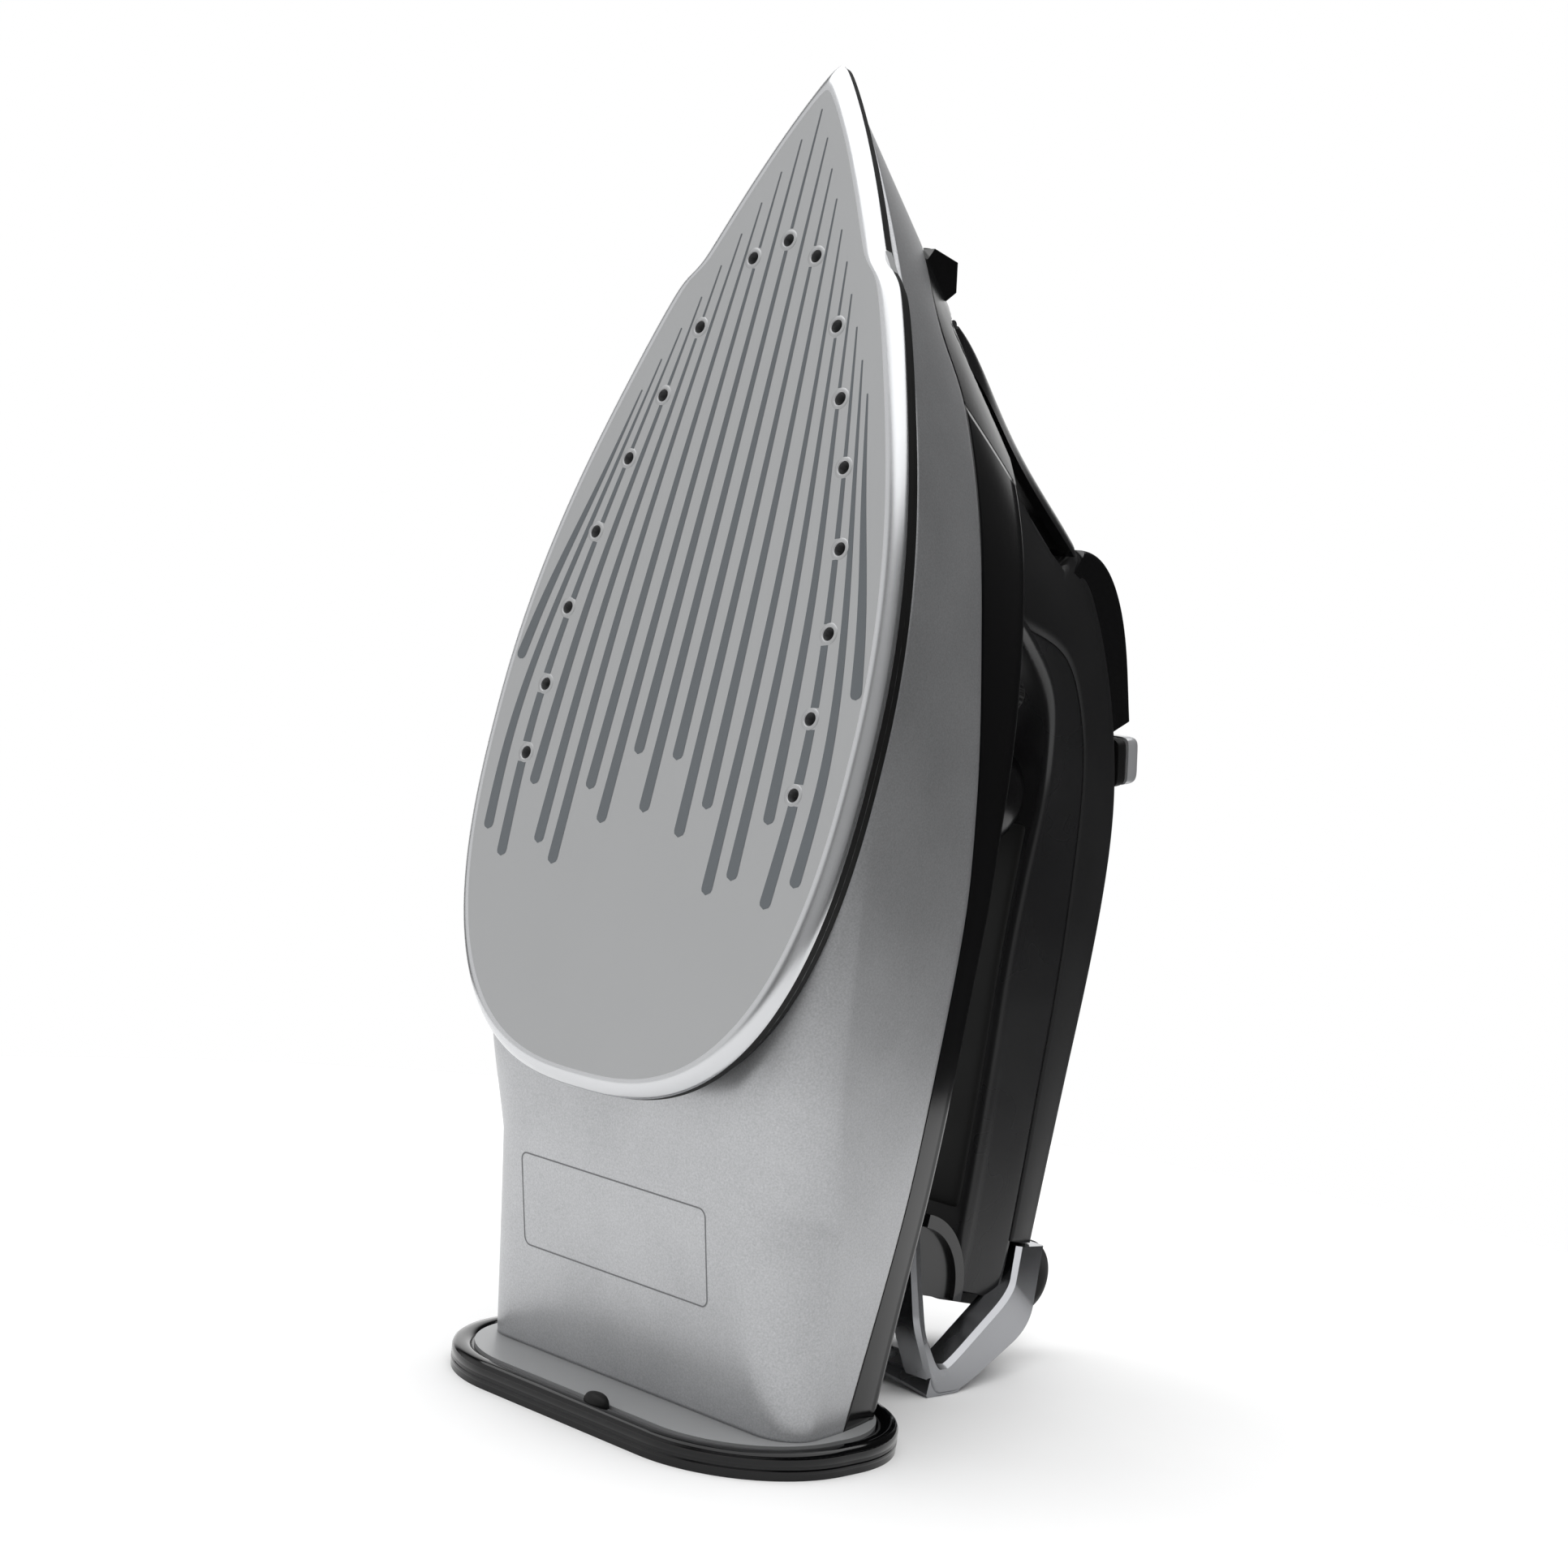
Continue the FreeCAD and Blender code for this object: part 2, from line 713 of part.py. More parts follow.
valve_hole = post(size("valve_rod") + run, 20, 140, 0, valve_z)
upper = skin.cut(under_band)
nose = upper.common(nose_zone).cut(door_seat).cut(nozzle)
housing = upper.cut(nose_zone).cut(door_seat).cut(shaft_hole).cut(rod_hole).cut(valve_hole)
screw_y = size("screw_spread")
screw_bite = size("screw_bite")


def heel_post(radius, low, high, side):
    """A cylinder that stands on the heel plate, between two levels."""
    return Part.makeCylinder(radius, high - low, Vector(0, side * screw_y, low))


def in_iron_axes(shape):
    """A shape given on the standing iron, turned into the iron's own axes."""
    turned = shape.copy()
    turned.Placement = standing.inverse()
    return turned


for side in (1, -1):
    lower = lower.cut(in_iron_axes(heel_post(size("screw_radius"), 0, heel_top + screw_bite + 0.5, side)))
feature("lower_shell", lower)


def largest(shape):
    """The main solid of a cut, without slivers."""
    return max(shape.Solids, key=lambda solid: solid.Volume)


feature("upper_housing", largest(housing))
feature("nose_cover", largest(nose))

tank_low = size("tank_low")
tank_wall = size("tank_wall")


def tank_block(inset):
    """The body's form inside the shell, between the tank's floor, rear and front."""
    form = body_solid(wall + size("tank_clear") + inset, tank_low)
    length = size("tank_length") - 2 * inset
    corner = Vector(tank_low + inset, -100, size("tank_rear") + inset)
    return form.common(Part.makeBox(200, 200, length, corner))


tray_depth = size("channel_depth") + size("tray_thick")
tank_form = tank_block(0)
tank = tank_form.cut(tank_block(tank_wall)).cut(slope_block(-15, 100, tray_depth + fit, 40))
tunnels = [(size("shaft_radius"), 0, dial_z), (size("rod_radius"), knob_y, knob_z),
           (size("valve_rod"), 0, valve_z)]
for radius, y, z in tunnels:
    sleeve = post(radius + size("tunnel_clear") + tank_wall, tank_low, 80, y, z).common(tank_form)
    tank = tank.fuse(sleeve).cut(post(radius + size("tunnel_clear"), 0, 120, y, z))

neck_axis = slope_out * -1
neck_start = slope_start + slope_along * size("neck_place") - slope_out * tray_depth
neck_length = size("neck_length")
neck_out = Part.makeCylinder(size("neck_radius"), neck_length, neck_start, neck_axis)
neck_bore = Part.makeCylinder(size("neck_bore"), 2 * neck_length, neck_start + slope_out * 6, neck_axis)
feature("water_tank", largest(tank.cut(neck_out).cut(neck_bore)))
feature("filler_neck", neck_out.cut(neck_bore))

# ---------------------------------------------------------------- fill door

cavity = inner.fuse(arch_inner)
tray = slope_block(0, size("door_length"), tray_depth, 30, -size("channel_depth")).common(cavity)
pin_depth = 4.0
pin_at = slope_start + (slope_along - slope_out) * pin_depth


def on_pin(radius, half):
    return Part.makeCylinder(radius, 2 * half, pin_at - Vector(0, half, 0), Vector(0, 1, 0))


lug_half = size("lug_half")
lug_radius = size("lug_radius")
lug = slope_block(pin_depth - lug_radius, 2 * lug_radius, size("channel_depth"), lug_half, -pin_depth)
lug = lug.fuse(on_pin(lug_radius, lug_half))
tray = largest(tray.cut(skin).cut(arch_skin)).fuse(lug).cut(on_pin(size("hinge_radius"), 10)).cut(neck_bore)
feature("filler_tray", tray)

door_length = size("door_length")
door_depth = size("door_depth")
door_wall = size("door_wall")
door_block = slope_block(pin_depth, door_length - pin_depth, door_depth, 30).fuse(on_pin(pin_depth, 30))
door = front.common(door_block)
door_hollow = slope_block(2 * pin_depth, door_length - 2 * pin_depth - door_wall, door_depth, 30, -door_wall)
hollow_form = body_solid(door_wall, shell_low).fuse(arch_solid(door_wall))
door = door.cut(hollow_form.common(door_hollow))
lug_room = math.hypot(lug_radius, door_depth - pin_depth) + fit
door = door.cut(on_pin(size("hinge_radius") + run, 10)).cut(on_pin(lug_room, lug_half + fit))
feature("fill_door", largest(door))
feature("door_hinge_pin", on_pin(size("hinge_radius"), size("pin_half")))

tip_height, tip_seat, tip_length = 45.8, 3.0, 4.2


def on_spray(radius, start, length):
    """A cylinder on the spray's axis, from a depth behind the nozzle's face."""
    return Part.makeCylinder(radius, length, Vector(tip_height, 0, nozzle_face - start), Vector(0, 0, 1))


tip_tube = on_spray(size("nozzle_tip_radius"), tip_seat, tip_length)
tip_bore = on_spray(size("nozzle_bore"), 2 * tip_seat, 4 * tip_seat)
feature("spray_nozzle", nozzle.cut(tip_tube).cut(tip_bore))
feature("nozzle_tip", tip_tube.cut(tip_bore))

# ---------------------------------------------------------------- handle pieces

lens = post(size("lens_radius"), 149, size("lens_top"), 0, size("lens_station"))
upper_arch = arch_skin.cut(below_split).cut(door_seat).cut(button_well).cut(track_room).cut(tail_zone)
feature("handle_shell", largest(upper_arch.cut(lens)))
feature("indicator_lens", lens)

underside_line = [(118.2, 148), (119.5, 138), (121.5, 113), (125, 85), (128.5, 52)]
grip_line = [(x + size("grip_thick"), z) for x, z in underside_line]
grip_zone = curved_prism(grip_line, [(100, 52), (100, 148)], size("grip_half"))
grip = arch_outer.common(grip_zone)
feature("grip_insert", largest(grip))
underside = arch_skin.common(below_split).cut(tail_zone).cut(grip)
feature("handle_underside", largest(underside))

# ---------------------------------------------------------------- buttons and pumps


def press_post(radius, start, length, side):
    """A cylinder along the press direction, its start that far under the button's crown."""
    head = Vector(130, side * size("button_half") / 2, 203) - button_out * start
    return Part.makeCylinder(radius, length, head, button_out * -1)


def ring_stack(radius, wire, pitch, turns):
    """A close-wound coil, drawn as ridged rings one on another."""
    ridges = []
    for k in range(turns):
        ridges += [(radius + wire, (k + 0.25) * pitch), (radius + wire, (k + 0.75) * pitch)]
        ridges.append((radius + wire / 2, (k + 1) * pitch))
    profile = [(radius - wire, 0), (radius + wire / 2, 0)] + ridges + [(radius - wire, turns * pitch)]
    corners = [Vector(x, 0, z) for x, z in profile]
    face = Part.Face(Part.makePolygon(corners + corners[:1]))
    return face.revolve(Vector(0, 0, 0), Vector(0, 0, 1), 360)


plate_depth = 17.0
plate_thick = 2.0
across = Vector(button_out.z, 0, -button_out.x)
frame_low = Vector(130, 0, 203) - button_out * (plate_depth + plate_thick)
frame_low, frame_high = frame_low - across * 13, frame_low + across * 11
frame_corners = [frame_low, frame_high, frame_high + button_out * plate_thick,
                 frame_low + button_out * plate_thick]
barrels = prism([(p.x, p.z) for p in frame_corners], -30, 30).common(arch_inner)
barrels = barrels.cut(button_well).cut(door_seat).cut(arch_skin)
springs = []
spring_wire = size("spring_wire")
spring_radius = size("spring_radius")
spring_low = plate_depth - 0.1
for side, label in ((-1, "spray"), (1, "steam")):
    ends = sorted((side * size("button_gap") / 2, side * size("button_half")))
    button = button_block(*ends, 0)
    crown = [edge for edge in button.Edges if edge.Curve.TypeId == "Part::GeomBSplineCurve"]
    feature(label + "_button", button.makeFillet(size("button_round"), crown))
    plunger = press_post(size("plunger_radius"), 7, size("plunger_length"), side)
    feature(label + "_plunger", plunger.cut(button))
    barrels = barrels.fuse(press_post(size("barrel_radius"), plate_depth, size("barrel_length"), side))
    barrels = barrels.cut(press_post(size("plunger_radius") + run, 0, 60, side))
    coils = ring_stack(spring_radius, spring_wire, size("spring_pitch"), int(size("spring_turns")))
    base = Vector(130, side * size("button_half") / 2, 203) - button_out * spring_low
    coils.Placement = Placement(base, Rotation(Vector(0, 0, 1), button_out))
    springs.append(coils)
feature("pump_barrels", largest(barrels.removeSplitter()))
feature("button_springs", Part.makeCompound(springs))

# ---------------------------------------------------------------- steam slider

track_thick = size("track_thick")
slider_rest = -size("slider_travel") / 2
stem_width, stem_length = 5.0, 6.0
slot_floor = 1.2
slot = seat_block(slot_floor, 10, size("slider_travel") + stem_width + 2 * fit, stem_length + 2 * fit)
track = seat_block(0, track_thick, size("track_width"), size("track_length"))
feature("steam_track", track.cut(slot))
cap = seat_block(track_thick + fit, size("slider_height"), size("slider_width"), size("slider_length"),
                 slider_rest)
cap = cap.makeFillet(size("slider_round"), cap.Edges)
stem = seat_block(slot_floor + fit, track_thick + 2, stem_width, stem_length, slider_rest)
feature("steam_slider", cap.fuse(stem).removeSplitter())

# ---------------------------------------------------------------- dial and self-clean knob


def on_sole(x, y, z):
    """The iron's own axes moved to a point, so that a turned piece is drawn about its own centre."""
    return standing.multiply(Placement(Vector(x, y, z), Rotation()))


def fluted_knob(label, radius, length, count, groove, placement):
    """A knob drawn about its own axis, with grooves spaced round its rim."""
    body = new_body(label)
    disc = sketch_on(body, label + "_disc", "YZ_Plane")
    add_circle(disc, 0, 0, radius)
    pad(body, disc, length)
    flute = sketch_on(body, label + "_flute", "YZ_Plane", length)
    add_circle(flute, size(radius.removeprefix("Sizes.")), 0, groove)
    cut = pocket(body, flute, length)
    pattern = body.newObject("PartDesign::PolarPattern", label + "_flutes")
    pattern.Originals = [cut]
    pattern.Axis = (origin_item(body, "X_Axis"), [""])
    pattern.Angle = 360
    pattern.Occurrences = count
    body.Tip = pattern
    doc.recompute()
    return finish(body, placement)


fluted_knob("temperature_dial", "Sizes.dial_radius", "Sizes.dial_high - Sizes.dial_low",
            int(size("dial_grooves")), "Sizes.groove_radius", on_sole(size("dial_low"), 0, dial_z))
shaft = doc.addObject("Part::Cylinder", "dial_shaft")
shaft.setExpression("Radius", "Sizes.shaft_radius")
shaft.Height = size("dial_low") - lid_top - size("thermostat_rise") - run
shaft.Placement = on_sole(lid_top + size("thermostat_rise") + run, 0, dial_z).multiply(
    Placement(Vector(), Rotation(Vector(0, 1, 0), 90)))
nodes.append(shaft)
pedestal = post(size("pedestal_radius"), 55, size("dial_low") - fit, 0, dial_z)
feature("dial_pedestal", pedestal.cut(outer).cut(post(size("shaft_radius") + run, 20, 130, 0, dial_z)))

knob_low = size("knob_low")
fluted_knob("self_clean_knob", "Sizes.knob_radius", "Sizes.knob_rise", int(size("knob_grooves")),
            "Sizes.knob_groove", on_sole(knob_low, knob_y, knob_z))
feature("self_clean_rod", post(size("rod_radius"), lid_top + fit, knob_low, knob_y, knob_z))
feature("valve_rod", post(size("valve_rod"), tank_low - 2, 106, 0, valve_z))
valve = post(size("valve_radius"), lid_top, tank_low, 0, valve_z)
feature("steam_valve", valve.cut(post(size("valve_rod") + run, tank_low - 2, 60, 0, valve_z)))

# ---------------------------------------------------------------- rear of the handle

pillar_centre = (111.5, 29.5)
pillar_foot = 55
pillar_round = size("pillar_round")


def quarter(radius, low, high):
    """A quarter disc at the head of the rear pillar."""
    x, z = pillar_centre
    disc = Part.makeCylinder(radius, high - low, Vector(x, low, z), Vector(0, 1, 0))
    return disc.common(Part.makeBox(radius, high - low, radius, Vector(x, low, z)))


pillar_half = size("pillar_half")
column = Part.makeBox(pillar_centre[0] - pillar_foot, 2 * pillar_half, pillar_round,
                      Vector(pillar_foot, -pillar_half, pillar_centre[1]))
pillar = quarter(pillar_round, -pillar_half, pillar_half).fuse(column).cut(outer).cut(arch_outer).cut(tail)
feature("rear_pillar", largest(pillar))
rims = []
rim_thick = size("rim_thick")
for low in (pillar_half, -pillar_half - rim_thick):
    rim_band = quarter(pillar_round + size("rim_proud"), low, low + rim_thick)
    rim_band = rim_band.cut(quarter(pillar_round - size("pillar_rim"), low, low + rim_thick))
    rims.append(largest(rim_band.cut(arch_outer).cut(tail)))
feature("pillar_rim", Part.makeCompound(rims))

feature("tail_loop", tail)
cover_half = size("tail_half") - size("tail_bar") - fit
tail_cover = prism([(131, 28.5), (156, 28.5), (156, 46.7), (143.8, 46.7), (143.8, 31), (131, 31)],
                   -cover_half, cover_half)
swivel_y, swivel_z = -size("swivel_side"), size("swivel_station")
swivel_low = size("swivel_low")
swivel_top = swivel_low + size("swivel_thick")
spigot_low = swivel_low - size("spigot_length")
spigot_hole = post(size("spigot_radius") + run, 130, 170, swivel_y, swivel_z)
feature("tail_cover", tail_cover.cut(spigot_hole))
wall_half = size("tail_half") + size("tail_flare") - 2
wall_block = prism([(72, 6.5), (88, floor_station(88) + foot_thick), (98, floor_station(98) + foot_thick),
                    (98, 47), (88, 52), (72, 54)], -wall_half, wall_half)
feature("loop_wall", largest(wall_block.cut(outer).cut(tail).cut(pillar)))

# the cord leaves beside the guard ring, so both sit off the swivel's own axis
gland_y = swivel_y + size("gland_offset")
ring_y = swivel_y - size("ring_offset")
cord_bore = post(size("cord_bore"), swivel_low, 180, gland_y, swivel_z)
disc = post(size("swivel_radius"), swivel_low, swivel_top, swivel_y, swivel_z).cut(cord_bore)
spigot = post(size("spigot_radius"), spigot_low, swivel_low, swivel_y, swivel_z)
feature("cord_swivel", disc.fuse(spigot))
gland = post(size("gland_radius"), swivel_top, size("gland_top"), gland_y, swivel_z)
gland_rim = [edge for edge in gland.Edges if edge.BoundBox.XMin > size("gland_top") - 0.1]
feature("cord_gland", gland.makeFillet(size("gland_round"), gland_rim).cut(cord_bore))


def ring_shape():
    """A round bar bent into a staple beside the gland."""
    radius = size("ring_radius")
    z = swivel_z
    top = size("gland_top") + 1.5
    legs = [Part.makeLine(Vector(swivel_top, ring_y, z + radius), Vector(top, ring_y, z + radius)),
            Part.Arc(Vector(top, ring_y, z + radius), Vector(top + radius, ring_y, z),
                     Vector(top, ring_y, z - radius)).toShape(),
            Part.makeLine(Vector(top, ring_y, z - radius), Vector(swivel_top, ring_y, z - radius))]
    circle = Part.makeCircle(size("ring_bar"), Vector(swivel_top, ring_y, z + radius), Vector(1, 0, 0))
    return Part.Wire(legs).makePipe(Part.Face(Part.Wire(circle)))


feature("cord_ring", ring_shape())

# ---------------------------------------------------------------- heel


def rounded_plate(label, inset, low, thick):
    """A rounded rectangle on the standing level, with every size bound to the sheet."""
    body = new_body(label)
    sketch = sketch_on(body, label + "_outline", "XY_Plane", low)
    a = size("plate_half_depth") - inset
    b = size("plate_half_width") - inset
    r = size("plate_corner") - inset
    turns = [((a - r, b - r), 0), ((r - a, b - r), 90), ((r - a, r - b), 180), ((a - r, r - b), 270)]
    lines = [((a - r, b), (r - a, b)), ((-a, b - r), (-a, r - b)), ((r - a, -b), (a - r, -b)),
             ((a, r - b), (a, b - r))]
    for (centre, start), (first, second) in zip(turns, lines):
        circle = Part.Circle(Vector(centre[0], centre[1], 0), Vector(0, 0, 1), r)
        sketch.addGeometry(Part.ArcOfCircle(circle, math.radians(start), math.radians(start + 90)), False)
        sketch.addGeometry(Part.LineSegment(Vector(*first, 0), Vector(*second, 0)), False)
    pad(body, sketch, thick)
    return body


def heel_holes(body, label, radius, top, depth):
    sketch = sketch_on(body, label, "XY_Plane", top)
    for side in (1, -1):
        add_circle(sketch, 0, side * screw_y, radius)
    pocket(body, sketch, depth)


heel_plate = rounded_plate("heel_plate", 0, "0", "Sizes.plate_thick")
heel_holes(heel_plate, "plate_holes", "Sizes.screw_radius + Sizes.run", "Sizes.plate_thick",
           "Sizes.plate_thick")
heel_holes(heel_plate, "head_recess", "Sizes.screw_head + Sizes.fit", "Sizes.head_sink + Sizes.head_thick",
           "Sizes.head_sink + Sizes.head_thick")
finish(heel_plate, Placement())
heel_trim = rounded_plate("heel_trim", size("trim_inset"), "Sizes.plate_thick", "Sizes.trim_thick")
heel_holes(heel_trim, "trim_holes", "Sizes.screw_radius + Sizes.run", "Sizes.plate_thick + Sizes.trim_thick",
           "Sizes.trim_thick")
finish(heel_trim, Placement())

tab_width, tab_thick = size("tab_width"), size("tab_thick")
tab_corner = Vector(-size("tab_place"), -tab_width / 2, heel_top)
tab = Part.makeBox(size("tab_length"), tab_width, tab_thick, tab_corner)
tab = tab.fuse(Part.makeBox(tab_thick, tab_width, size("tab_rise"), tab_corner))
feature("latch_tab", tab.removeSplitter(), Placement())
head_low = size("head_sink")
head_high = head_low + size("head_thick")
screws = []
for side in (1, -1):
    shank = heel_post(size("screw_radius"), head_low, heel_top + screw_bite, side)
    screws.append(shank.fuse(heel_post(size("screw_head"), head_low, head_high, side)))
feature("heel_screws", Part.makeCompound(screws), Placement())
block_side = size("block_side")
block_corner = Vector(-5, -block_side, heel_top + wall)
feature("terminal_block", Part.makeBox(block_side, 2 * block_side, block_side, block_corner), Placement())

# ---------------------------------------------------------------- check and write

doc.recompute()
for item in doc.Objects:
    if "Invalid" in item.State or "Error" in item.State:
        raise RuntimeError(item.Label + " failed: " + str(item.State))
for piece in nodes:
    shape = piece.Shape
    if shape.isNull() or not shape.isValid() or shape.Volume <= 0:
        raise RuntimeError(piece.Label + " has no valid shape")
os.makedirs("parts", exist_ok=True)
for piece in nodes:
    piece.Shape.exportStep("parts/" + piece.Label + ".step")
print(len(nodes), "pieces written")
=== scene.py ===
import math

import bmesh
import bpy
import numpy as np
from mathutils import Matrix, Vector


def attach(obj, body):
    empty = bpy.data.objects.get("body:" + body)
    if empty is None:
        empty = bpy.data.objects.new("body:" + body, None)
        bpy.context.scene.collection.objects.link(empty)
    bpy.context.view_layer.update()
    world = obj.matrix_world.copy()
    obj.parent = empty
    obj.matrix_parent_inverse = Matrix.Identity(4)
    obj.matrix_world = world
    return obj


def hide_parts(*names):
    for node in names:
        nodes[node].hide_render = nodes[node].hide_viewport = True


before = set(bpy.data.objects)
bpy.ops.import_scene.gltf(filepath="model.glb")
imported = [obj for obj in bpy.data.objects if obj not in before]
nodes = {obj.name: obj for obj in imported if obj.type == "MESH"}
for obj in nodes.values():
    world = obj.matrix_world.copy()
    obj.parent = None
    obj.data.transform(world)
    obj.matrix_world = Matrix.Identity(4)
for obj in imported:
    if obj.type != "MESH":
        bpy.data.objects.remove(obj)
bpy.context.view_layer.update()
print("frame loaded:", len(nodes), "CAD nodes")

# The iron's own axes, in mm: height above the sole face, side (right is plus), station along the sole.
# The body's half width is a constant less a slope and a bend by height; powers and runs shape it along the sole.
stance = {"lean": math.radians(11.0), "heelHeight": 52.5, "plateThick": 4.9, "heelTop": 5.9, "skewRun": 60}
body = {"tip": 297.5, "rake": math.radians(34.6), "widest": 142.0, "noseGain": 1.8, "half": (57.8, 0.12, 0.00088),
        "ogive": 0.9, "rearHalf": 49.8, "pinch": 7, "pinchFrom": 45, "pinchRun": 30, "behind": 40, "taper": 1.85}
cosLean, sinLean = math.cos(stance["lean"]), math.sin(stance["lean"])
rakeSlope = math.tan(body["rake"])


def stand(points):
    # turns points from the iron's own axes to the standing frame, in metres
    h, y, z = points[..., 0], points[..., 1], points[..., 2]
    out = (h - stance["heelHeight"]) * cosLean + z * sinLean
    up = z * cosLean - (h - stance["heelHeight"]) * sinLean + stance["plateThick"]
    return np.stack([out, y, up], -1) / 1000


def spline(knots, values, at):
    # cubic curve through the values; second derivatives come from one linear system
    x, v = np.asarray(knots, float), np.asarray(values, float)
    if v.ndim == 1:
        v = v[:, None]
    count = len(x)
    step = np.diff(x)
    system, right = np.zeros((count, count)), np.zeros((count, v.shape[1]))
    slope = np.diff(v, axis=0) / step[:, None]
    for k in range(1, count - 1):
        system[k, k - 1:k + 2] = step[k - 1], 2 * (step[k - 1] + step[k]), step[k]
        right[k] = 6 * (slope[k] - slope[k - 1])
    system[0, 0] = system[-1, -1] = 1
    bend = np.linalg.solve(system, right)
    t = np.clip(np.asarray(at, float), x[0], x[-1])
    k = np.clip(np.searchsorted(x, t, side="right") - 1, 0, count - 2)
    width = step[k][..., None]
    a = (x[k + 1] - t)[..., None] / width
    b = 1 - a
    return a * v[k] + b * v[k + 1] + ((a**3 - a) * bend[k] + (b**3 - b) * bend[k + 1]) * width**2 / 6


def pieceFrom(name, points, faces, pivot=None, sharp=40.0, merge=0.01):
    # one mesh: doubles merged (mm), faces turned away from the pivot, smooth below the sharp angle
    mesh = bpy.data.meshes.new(name)
    mesh.from_pydata(points.reshape(-1, 3).tolist(), [], faces)
    work = bmesh.new()
    work.from_mesh(mesh)
    bmesh.ops.remove_doubles(work, verts=work.verts, dist=merge / 1000)
    bmesh.ops.dissolve_degenerate(work, edges=work.edges, dist=merge / 2000)
    bmesh.ops.recalc_face_normals(work, faces=work.faces)
    centre = sum((v.co for v in work.verts), Vector()) / len(work.verts)
    middle = centre if pivot is None else Vector(pivot)
    side = sum((f.calc_center_median() - middle).dot(f.normal) * f.calc_area() for f in work.faces)
    if side < 0:
        bmesh.ops.reverse_faces(work, faces=work.faces)
    work.to_mesh(mesh)
    work.free()
    mesh.shade_smooth()
    mesh.set_sharp_from_angle(angle=math.radians(sharp))
    made = bpy.data.objects.new(name, mesh)
    bpy.context.scene.collection.objects.link(made)
    return made


def gridFaces(rows, cols, wrap=False, start=0):
    # four-sided faces over a grid of points, its columns closed into a ring by wrap
    index = np.arange(rows * cols).reshape(rows, cols) + start
    if wrap:
        index = np.hstack([index, index[:, :1]])
    quads = np.stack([index[:-1, :-1], index[1:, :-1], index[1:, 1:], index[:-1, 1:]], -1)
    return quads.reshape(-1, 4).tolist()


def surface(name, grid, wrap=False, caps=False, **settings):
    # a mesh over a grid of points (rows, columns), in the iron's own axes
    rows, cols = grid.shape[:2]
    faces = gridFaces(rows, cols, wrap)
    if caps:
        faces += [list(range(cols)), list(range((rows - 1) * cols, rows * cols))[::-1]]
    return pieceFrom(name, stand(grid), faces, **settings)


def thicken(piece, wall):
    # gives a skin its wall, inwards, in mm
    solid = piece.modifiers.new("wall", "SOLIDIFY")
    solid.thickness = wall / 1000
    solid.offset = -1
    solid.use_even_offset = False
    return piece


def place(piece, bodyName, slot, material, *hidden):
    # material and body of a piece, and the CAD nodes that it stands for; slot is not used
    piece.data.materials.clear()
    piece.data.materials.append(material)
    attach(piece, bodyName)
    if hidden:
        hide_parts(*hidden)


def tone(code):
    # sRGB hex to linear, with alpha
    parts = np.array([int(code[k:k + 2], 16) for k in (1, 3, 5)]) / 255
    linear = np.where(parts <= 0.04045, parts / 12.92, ((parts + 0.055) / 1.055) ** 2.4)
    return tuple(linear.tolist()) + (1.0,)


def add(tree, kind, inputs=None, **settings):
    # adds one shader node; an input is a number or the output that feeds it
    made = tree.nodes.new(kind)
    for key, value in settings.items():
        setattr(made, key, value)
    for key, value in (inputs or {}).items():
        if isinstance(value, bpy.types.NodeSocket):
            tree.links.new(value, made.inputs[key])
        else:
            made.inputs[key].default_value = value
    return made


def perMetre(millimetres):
    # how many times a pattern of that size repeats in a metre
    return 1000.0 / millimetres


# patches are in mm; the range is the part of the noise that drives the roughness
skinPattern = {"patch": 25.0, "patchDetail": 3.0, "grainDetail": 2.0, "range": (0.3, 0.7), "bump": 0.6}


def finish(name, light, dark, rough, spread, grainSize, grainDepth, fleck=0.0, **shader):
    # a moulded or cast finish: two near tones in soft patches, roughness that wanders by the spread,
    # and a fine surface grain of real size and depth in mm; fleck lets the grain show in the tone as well
    made = bpy.data.materials.new(name)
    made.use_nodes = True
    tree = made.node_tree
    skin = tree.nodes["Principled BSDF"]
    spot = add(tree, "ShaderNodeTexCoord").outputs["Object"]
    patch = add(tree, "ShaderNodeTexNoise", {"Vector": spot, "Scale": perMetre(skinPattern["patch"]),
                                             "Detail": skinPattern["patchDetail"]})
    grain = add(tree, "ShaderNodeTexNoise", {"Vector": spot, "Scale": perMetre(grainSize),
                                             "Detail": skinPattern["grainDetail"]})
    share = patch.outputs["Fac"]
    if fleck:
        lively = add(tree, "ShaderNodeMath", {0: grain.outputs["Fac"], 1: fleck, 2: -0.5 * fleck},
                     operation="MULTIPLY_ADD").outputs[0]
        share = add(tree, "ShaderNodeMath", {0: share, 1: lively}, operation="ADD", use_clamp=True).outputs[0]
    mix = add(tree, "ShaderNodeMix", {0: share, 6: tone(dark), 7: tone(light)}, data_type="RGBA")
    low, high = skinPattern["range"]
    spreadRange = add(tree, "ShaderNodeMapRange", {"Value": patch.outputs["Fac"], "From Min": low, "From Max": high,
                                                   "To Min": rough - spread, "To Max": rough + spread})
    bump = add(tree, "ShaderNodeBump", {"Height": grain.outputs["Fac"], "Strength": skinPattern["bump"],
                                        "Distance": grainDepth / 1000})
    tree.links.new(mix.outputs[2], skin.inputs["Base Color"])
    tree.links.new(spreadRange.outputs["Result"], skin.inputs["Roughness"])
    tree.links.new(bump.outputs["Normal"], skin.inputs["Normal"])
    for key, value in shader.items():
        skin.inputs[key.replace("_", " ")].default_value = value
    return made


# gloss black: the studio shows in it as dark, nearly sharp bands
blackAbs = finish("glossyMouldedAbs", "#0c0c0d", "#09090a", 0.14, 0.03, 1.6, 0.002, IOR=1.54,
                  Specular_IOR_Level=0.22)
